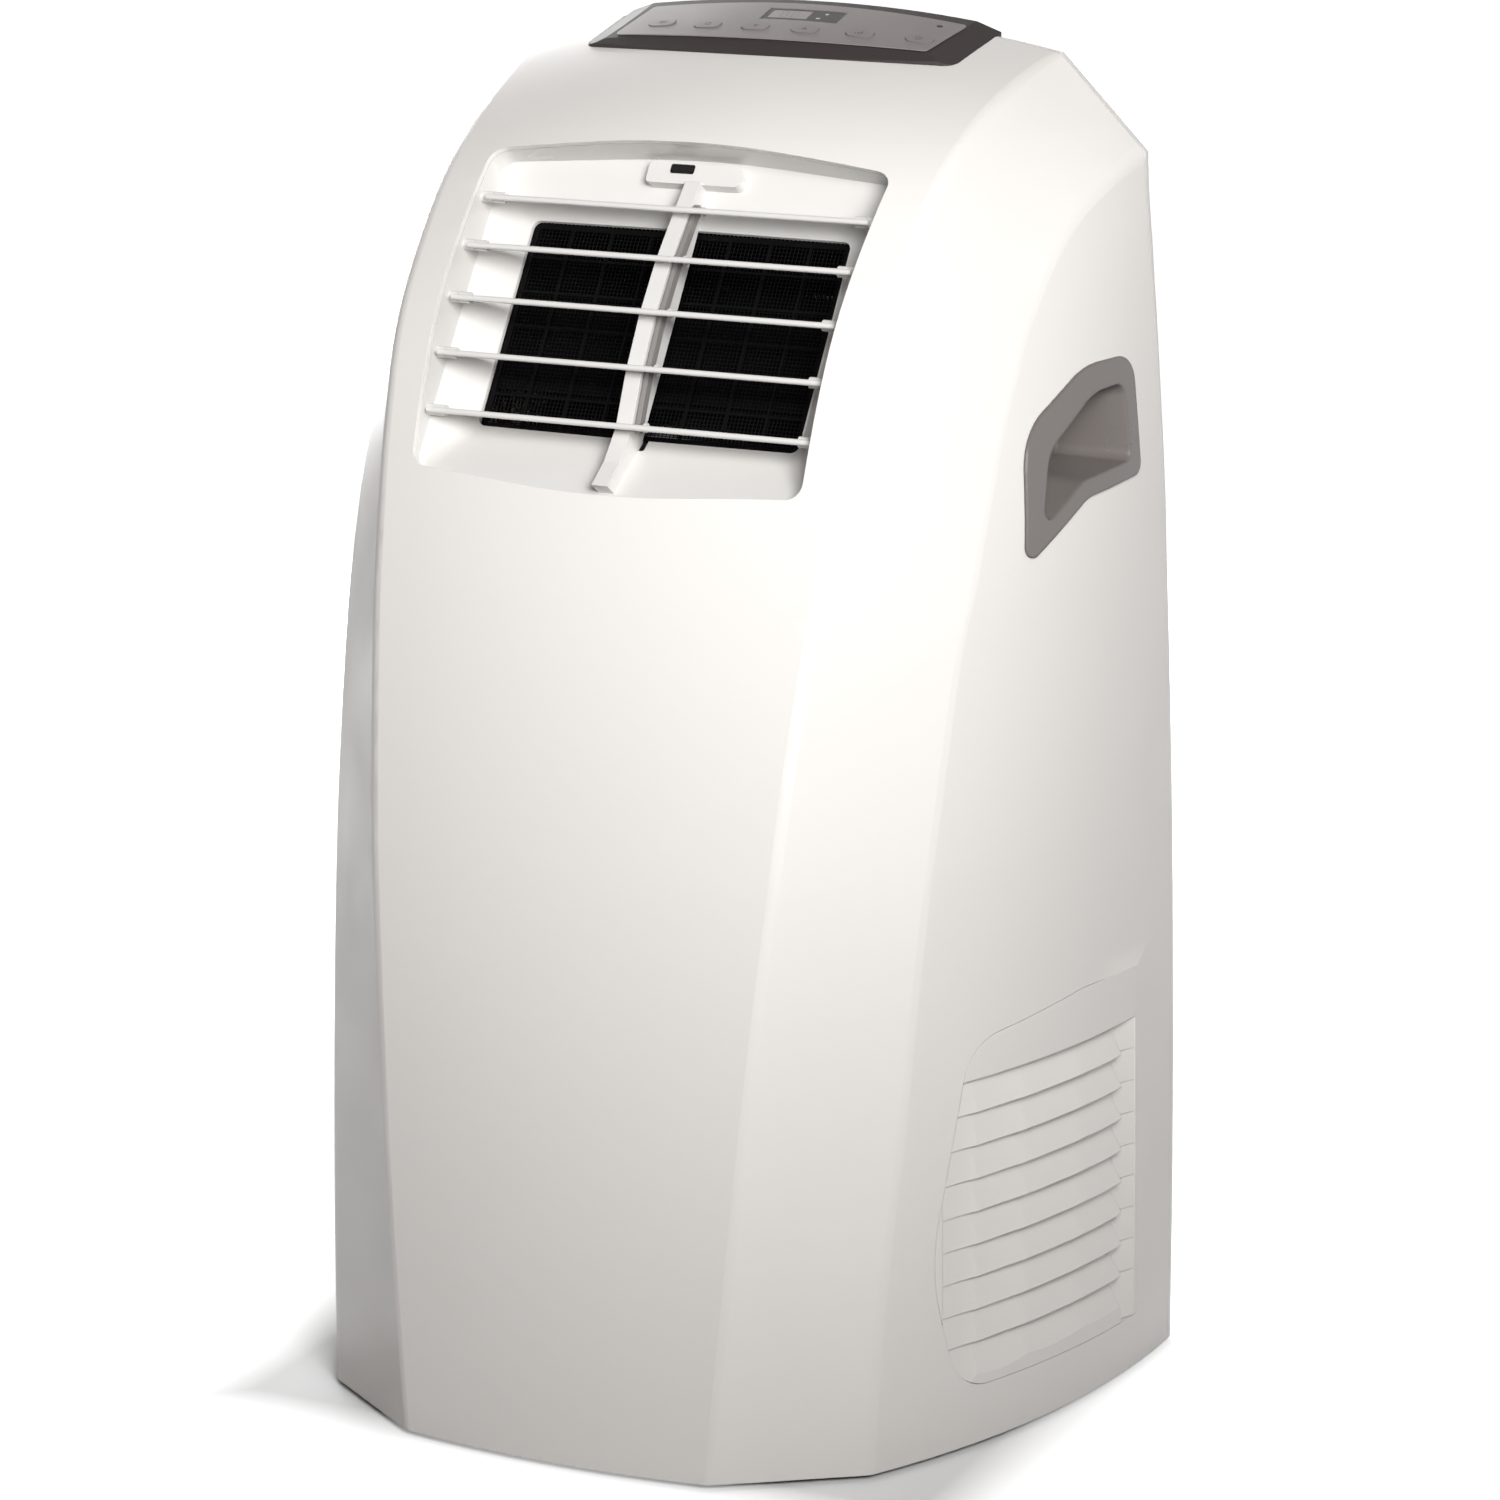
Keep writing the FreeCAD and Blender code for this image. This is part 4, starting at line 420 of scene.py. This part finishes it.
# ---------------------------------------------------------------------------------------------
# The control panel: a sloping bezel in dark grey ABS under a satin lacquer, and on its flat a
# printed polycarbonate overlay in grey with a mauve cast, with six oval keys of the same sheet.
# The board under them is faintly mottled green glass-epoxy.
# ---------------------------------------------------------------------------------------------
finish_nodes(moulded("lacquered_dark_grey_abs", "#3a3433", roughness=0.50, grain=0.0012,
                     relief=0.000003, radius=0.0006, ior=1.50, drift=0.05, specular=0.2),
             "control_bezel")
finish_nodes(moulded("printed_polycarbonate", "#837b7b", roughness=0.40, grain=0.0007,
                     relief=0.000006, radius=0.0002, ior=1.58, specular=0.25),
             "panel_overlay", *numbered("panel_key", 6))
finish_nodes(moulded("green_glass_epoxy", "#1f5a3c", roughness=0.35, grain=0.0020,
                     relief=0.00002, radius=0.0003, ior=1.55, drift=0.3), "control_board")


# ---------------------------------------------------------------------------------------------
# The display: a polished window of smoked acrylic, flush in the overlay. It shows a pale liquid
# crystal pane with two faint digits of seven segments, and beside it two frosted white lamps,
# all laid on its face so that they aren't lost in the smoke.
# ---------------------------------------------------------------------------------------------
def draped(name, node, cells, lift, thickness, material):
    """A thin piece on a CAD node's top, from its cells' corners seen from above, in metres."""
    straight_out_of_panel, well_above = Vector((0, -0.29, 0.957)), 0.8
    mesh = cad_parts[node].data
    surface = BVHTree.FromPolygons([vertex.co for vertex in mesh.vertices],
                                   [tuple(face.vertices) for face in mesh.polygons])
    points, faces, places = [], [], {}
    for cell in cells:
        corners = [(round(x, 7), round(y, 7)) for x, y in cell]
        for x, y in corners:
            if (x, y) not in places:
                places[x, y] = len(points)
                hit = surface.ray_cast(Vector((x, y, well_above)), Vector((0, 0, -1)))[0]
                points.append(hit + straight_out_of_panel * lift)
        faces.append(tuple(places[corner] for corner in corners))
    made = mesh_object(name, points, faces, material)
    thick = made.modifiers.new("thickness", "SOLIDIFY")
    thick.thickness = thickness
    thick.offset = -1.0
    return made


def bar(x0, x1, y0, y1, columns=1, rows=1):
    """The cells of a rectangle, seen from above."""
    xs = [x0 + (x1 - x0) * i / columns for i in range(columns + 1)]
    ys = [y0 + (y1 - y0) * i / rows for i in range(rows + 1)]
    return [[(xs[i], ys[j]), (xs[i + 1], ys[j]), (xs[i + 1], ys[j + 1]), (xs[i], ys[j + 1])]
            for i in range(columns) for j in range(rows)]


def disc(x, y, half_length, half_width, count):
    """The one cell of an oval disc, seen from above."""
    turns = [math.tau * i / count for i in range(count)]
    return [[(x + half_length * math.cos(turn), y + half_width * math.sin(turn))
             for turn in turns]]


finish_nodes(moulded("smoked_acrylic", "#443d3c", roughness=0.14, grain=0.003, relief=0.000002,
                     radius=0.0003, ior=1.49, specular=0.3), "display_window")
pane_x, pane_y, pane_wide, pane_deep = -0.0095, 0.1072, 0.0215, 0.0095
pane = draped(
    "display_pane", "display_window",
    bar(pane_x, pane_x + pane_wide, pane_y, pane_y + pane_deep, columns=10, rows=5),
    lift=0.00006, thickness=0.00004,
    material=moulded("liquid_crystal_glass", "#9a9492", roughness=0.16, grain=0.002,
                     relief=0.000002, radius=0.0001, ior=1.52, drift=0.05, specular=0.3))
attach(pane, "casing")

digit_wide, digit_deep, stroke = 0.0042, 0.0068, 0.0007
first_digit, next_digit = 0.0055, 0.0062
corner_gap, end_gap = stroke * 0.7, stroke * 0.4
half_digit = (digit_deep - stroke) / 2
segment_cells = []
for digit in range(2):
    left = pane_x + first_digit + digit * next_digit
    near = pane_y + (pane_deep - digit_deep) / 2
    for row in range(3):
        y = near + row * half_digit
        segment_cells += bar(left + stroke, left + digit_wide - stroke, y, y + stroke)
    for column in range(2):
        x = left + column * (digit_wide - stroke)
        for row in range(2):
            y = near + corner_gap + row * half_digit
            segment_cells += bar(x, x + stroke, y, y + half_digit - end_gap)
segments = draped(
    "display_segments", "display_window", segment_cells, lift=0.00011, thickness=0.00004,
    material=moulded("liquid_crystal_segment", "#88827f", roughness=0.20, grain=0.002,
                     relief=0.000002, radius=0.0001, ior=1.52, drift=0.05, specular=0.3))
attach(segments, "casing")

lamp_places = ((0.0205, 0.1150), (0.0180, 0.1092))
lamp_long, lamp_wide = 0.0011, 0.0009
lamps = draped(
    "display_lamps", "display_window",
    [cell for x, y in lamp_places for cell in disc(x, y, lamp_long, lamp_wide, count=16)],
    lift=0.00008, thickness=0.00005,
    material=moulded("frosted_lamp_lens", "#c9c4c1", roughness=0.35, grain=0.001,
                     relief=0.000004, radius=0.0001, ior=1.49))
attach(lamps, "casing")


# ---------------------------------------------------------------------------------------------
# Screen printing in dark, slightly shiny ink: a plain general sign on each key. Near the
# panel's right end a smoked lens covers the lamp that answers the remote control.
# ---------------------------------------------------------------------------------------------
def ring(half_length, half_width, line, start=0.0, sweep=math.tau, count=24):
    """The cells of an oval line round a sign's middle, or of part of it."""
    turns = [start + sweep * i / count for i in range(count + 1)]
    inner, outer = [[((half_length - inset) * math.cos(turn), (half_width - inset) * math.sin(turn))
                     for turn in turns] for inset in (line, 0.0)]
    return [[inner[i], outer[i], outer[i + 1], inner[i + 1]] for i in range(count)]


ink_line = 0.0004
two_bars = (bar(-0.0022, 0.0022, -0.0010, -0.0005) + bar(-0.0022, 0.0022, 0.0005, 0.0010))
oval = ring(0.0017, 0.0015, ink_line)
down = [[(-0.0017, 0.0011), (0, -0.0015), (0.0017, 0.0011)]]
up = [[(-0.0017, -0.0011), (0.0017, -0.0011), (0, 0.0015)]]
rising_bars = (bar(-0.0021, -0.0012, -0.0013, -0.0003) + bar(-0.0005, 0.0004, -0.0013, 0.0006)
               + bar(0.0011, 0.0020, -0.0013, 0.0015))
on_off = (ring(0.0018, 0.0016, ink_line, math.radians(115), math.radians(310))
          + bar(-ink_line / 2, ink_line / 2, 0.0003, 0.0020))
ink = moulded("screen_printed_ink", "#5b5353", roughness=0.45, grain=0.0004, relief=0.000004,
              radius=0.0001, ior=1.50, drift=0.08, specular=0.3)
# A key leans forward, so the middle of its top is nearer to the front of its box.
front_share = 0.62
for number, cells in enumerate((two_bars, oval, down, up, rising_bars, on_off), 1):
    low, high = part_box("panel_key_%d" % number)
    x, y = (low[0] + high[0]) / 2, low[1] * front_share + high[1] * (1 - front_share)
    sign = draped("key_%d_sign" % number, "panel_key_%d" % number,
                  [[(x + corner[0], y + corner[1]) for corner in cell] for cell in cells],
                  lift=0.00007, thickness=0.00005, material=ink)
    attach(sign, "key_%d" % number)

lens_x, lens_y, lens_long, lens_wide = 0.0815, 0.1175, 0.0017, 0.0014
lens = draped(
    "answer_lamp_lens", "panel_overlay", disc(lens_x, lens_y, lens_long, lens_wide, count=20),
    lift=0.00009, thickness=0.00006,
    material=moulded("smoked_lamp_lens", "#332d2d", roughness=0.15, grain=0.001,
                     relief=0.000002, radius=0.0001, ior=1.49, drift=0.05, specular=0.3))
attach(lens, "casing")

# ---------------------------------------------------------------------------------------------
# The air filter: a frame with crossing ribs in pale grey polypropylene that slides up out of
# its rails, over a woven nylon net. Threads lie 0.8 mm apart, drawn as 2 mm so that they show.
# ---------------------------------------------------------------------------------------------
finish_nodes(moulded("pale_grey_polypropylene", "#8f9092", roughness=0.42, grain=0.0010,
                     relief=0.00001, ior=1.49), "filter_frame")
filter_edge, net_level = 0.013, 0.0024
filter_low, filter_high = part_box("filter_frame")
filter_middle = Vector((0, filter_low[1] + net_level, (filter_low[2] + filter_high[2]) / 2))
filter_net = woven_net(
    "filter_net", filter_middle, Vector((-1, 0, 0)), Vector((0, 0, 1)),
    filter_high[0] - filter_low[0] - 2 * filter_edge,
    filter_high[2] - filter_low[2] - 2 * filter_edge, pitch=0.002, thread=0.0005,
    material=moulded("woven_grey_nylon", "#5d6063", roughness=0.45, grain=0.0006,
                     relief=0.00001, radius=0.0001, drift=0.1))
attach(filter_net, "filter")

# ---------------------------------------------------------------------------------------------
# On the back: the hose collar in satin light grey polypropylene, the gland for the mains cord
# in darker and duller nylon, and a black rubber plug in each drain.
# ---------------------------------------------------------------------------------------------
finish_nodes(moulded("light_grey_polypropylene", "#b5b2ad", roughness=0.40, grain=0.0010,
                     relief=0.00001, radius=0.0008, ior=1.49), "hose_collar")
finish_nodes(moulded("dark_grey_nylon", "#3a3939", roughness=0.48, grain=0.0008,
                     relief=0.00001), "cord_gland")
finish_nodes(black_rubber, "upper_drain_plug", "lower_drain_plug")


# ---------------------------------------------------------------------------------------------
# Eight case screws, countersunk flush in the rear cover: a conical head with a cross recess,
# on a plain shank that runs into a post of the front case. The zinc plate is bright and cool.
# ---------------------------------------------------------------------------------------------
def screw_loop(x, z, outline, scale, level):
    """One loop of points round a screw's axis."""
    return [screws.verts.new((x + a * scale, level, z + b * scale)) for a, b in outline]


def screw_wall(near, far):
    """The faces between two loops."""
    for i in range(len(near)):
        after = (i + 1) % len(near)
        screws.faces.new((near[i], near[after], far[after], far[i]))


head_radius, head_deep, shank_radius = 0.004, 0.0022, 0.0018
arm, slot, recess_deep, recess_taper = 0.0024, 0.0004, 0.0014, 0.45
sides, same_level, same_screw = 32, 0.00001, 0.012
round_outline = [(math.cos(math.tau * i / sides), math.sin(math.tau * i / sides))
                 for i in range(sides)]
cross_outline = [(arm, -slot), (arm, slot), (slot, slot), (slot, arm), (-slot, arm),
                 (-slot, slot), (-arm, slot), (-arm, -slot), (-slot, -slot), (-slot, -arm),
                 (slot, -arm), (slot, -slot)]
screw_low, screw_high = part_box("case_screws")
tip_level, top_level = screw_low[1], screw_high[1]
# The points on the heads' faces, gathered by the screw that they belong to.
rims = []
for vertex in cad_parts["case_screws"].data.vertices:
    if abs(vertex.co.y - top_level) < same_level:
        rim_point = Vector((vertex.co.x, 0, vertex.co.z))
        for rim in rims:
            if (rim[0] - rim_point).length < same_screw:
                rim.append(rim_point)
                break
        else:
            rims.append([rim_point])
screws = bmesh.new()
for rim in rims:
    x = (min(point.x for point in rim) + max(point.x for point in rim)) / 2
    z = (min(point.z for point in rim) + max(point.z for point in rim)) / 2
    head = screw_loop(x, z, round_outline, head_radius, top_level)
    neck = screw_loop(x, z, round_outline, shank_radius, top_level - head_deep)
    tip = screw_loop(x, z, round_outline, shank_radius, tip_level)
    screw_wall(head, neck)
    screw_wall(neck, tip)
    screws.faces.new(tip)
    mouth = screw_loop(x, z, cross_outline, 1, top_level)
    bottom = screw_loop(x, z, cross_outline, recess_taper, top_level - recess_deep)
    screw_wall(mouth, bottom)
    screws.faces.new(bottom)
    borders = [screws.edges.get((ends[i], ends[(i + 1) % len(ends)]))
               for ends in (head, mouth) for i in range(len(ends))]
    bmesh.ops.triangle_fill(screws, use_beauty=True, edges=borders, normal=(0, 1, 0))
bmesh.ops.recalc_face_normals(screws, faces=screws.faces)
screw_shape = bpy.data.meshes.new("cross_head_screws")
screws.to_mesh(screw_shape)
screws.free()
screw_shape.materials.append(metal("bright_zinc_plate", "#c3c5c3", roughness=0.30,
                                   mark_size=0.0010, drift=0.25))
cross_head_screws = bpy.data.objects.new("cross_head_screws", screw_shape)
bpy.context.scene.collection.objects.link(cross_head_screws)
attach(cross_head_screws, "casing")
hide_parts("case_screws")
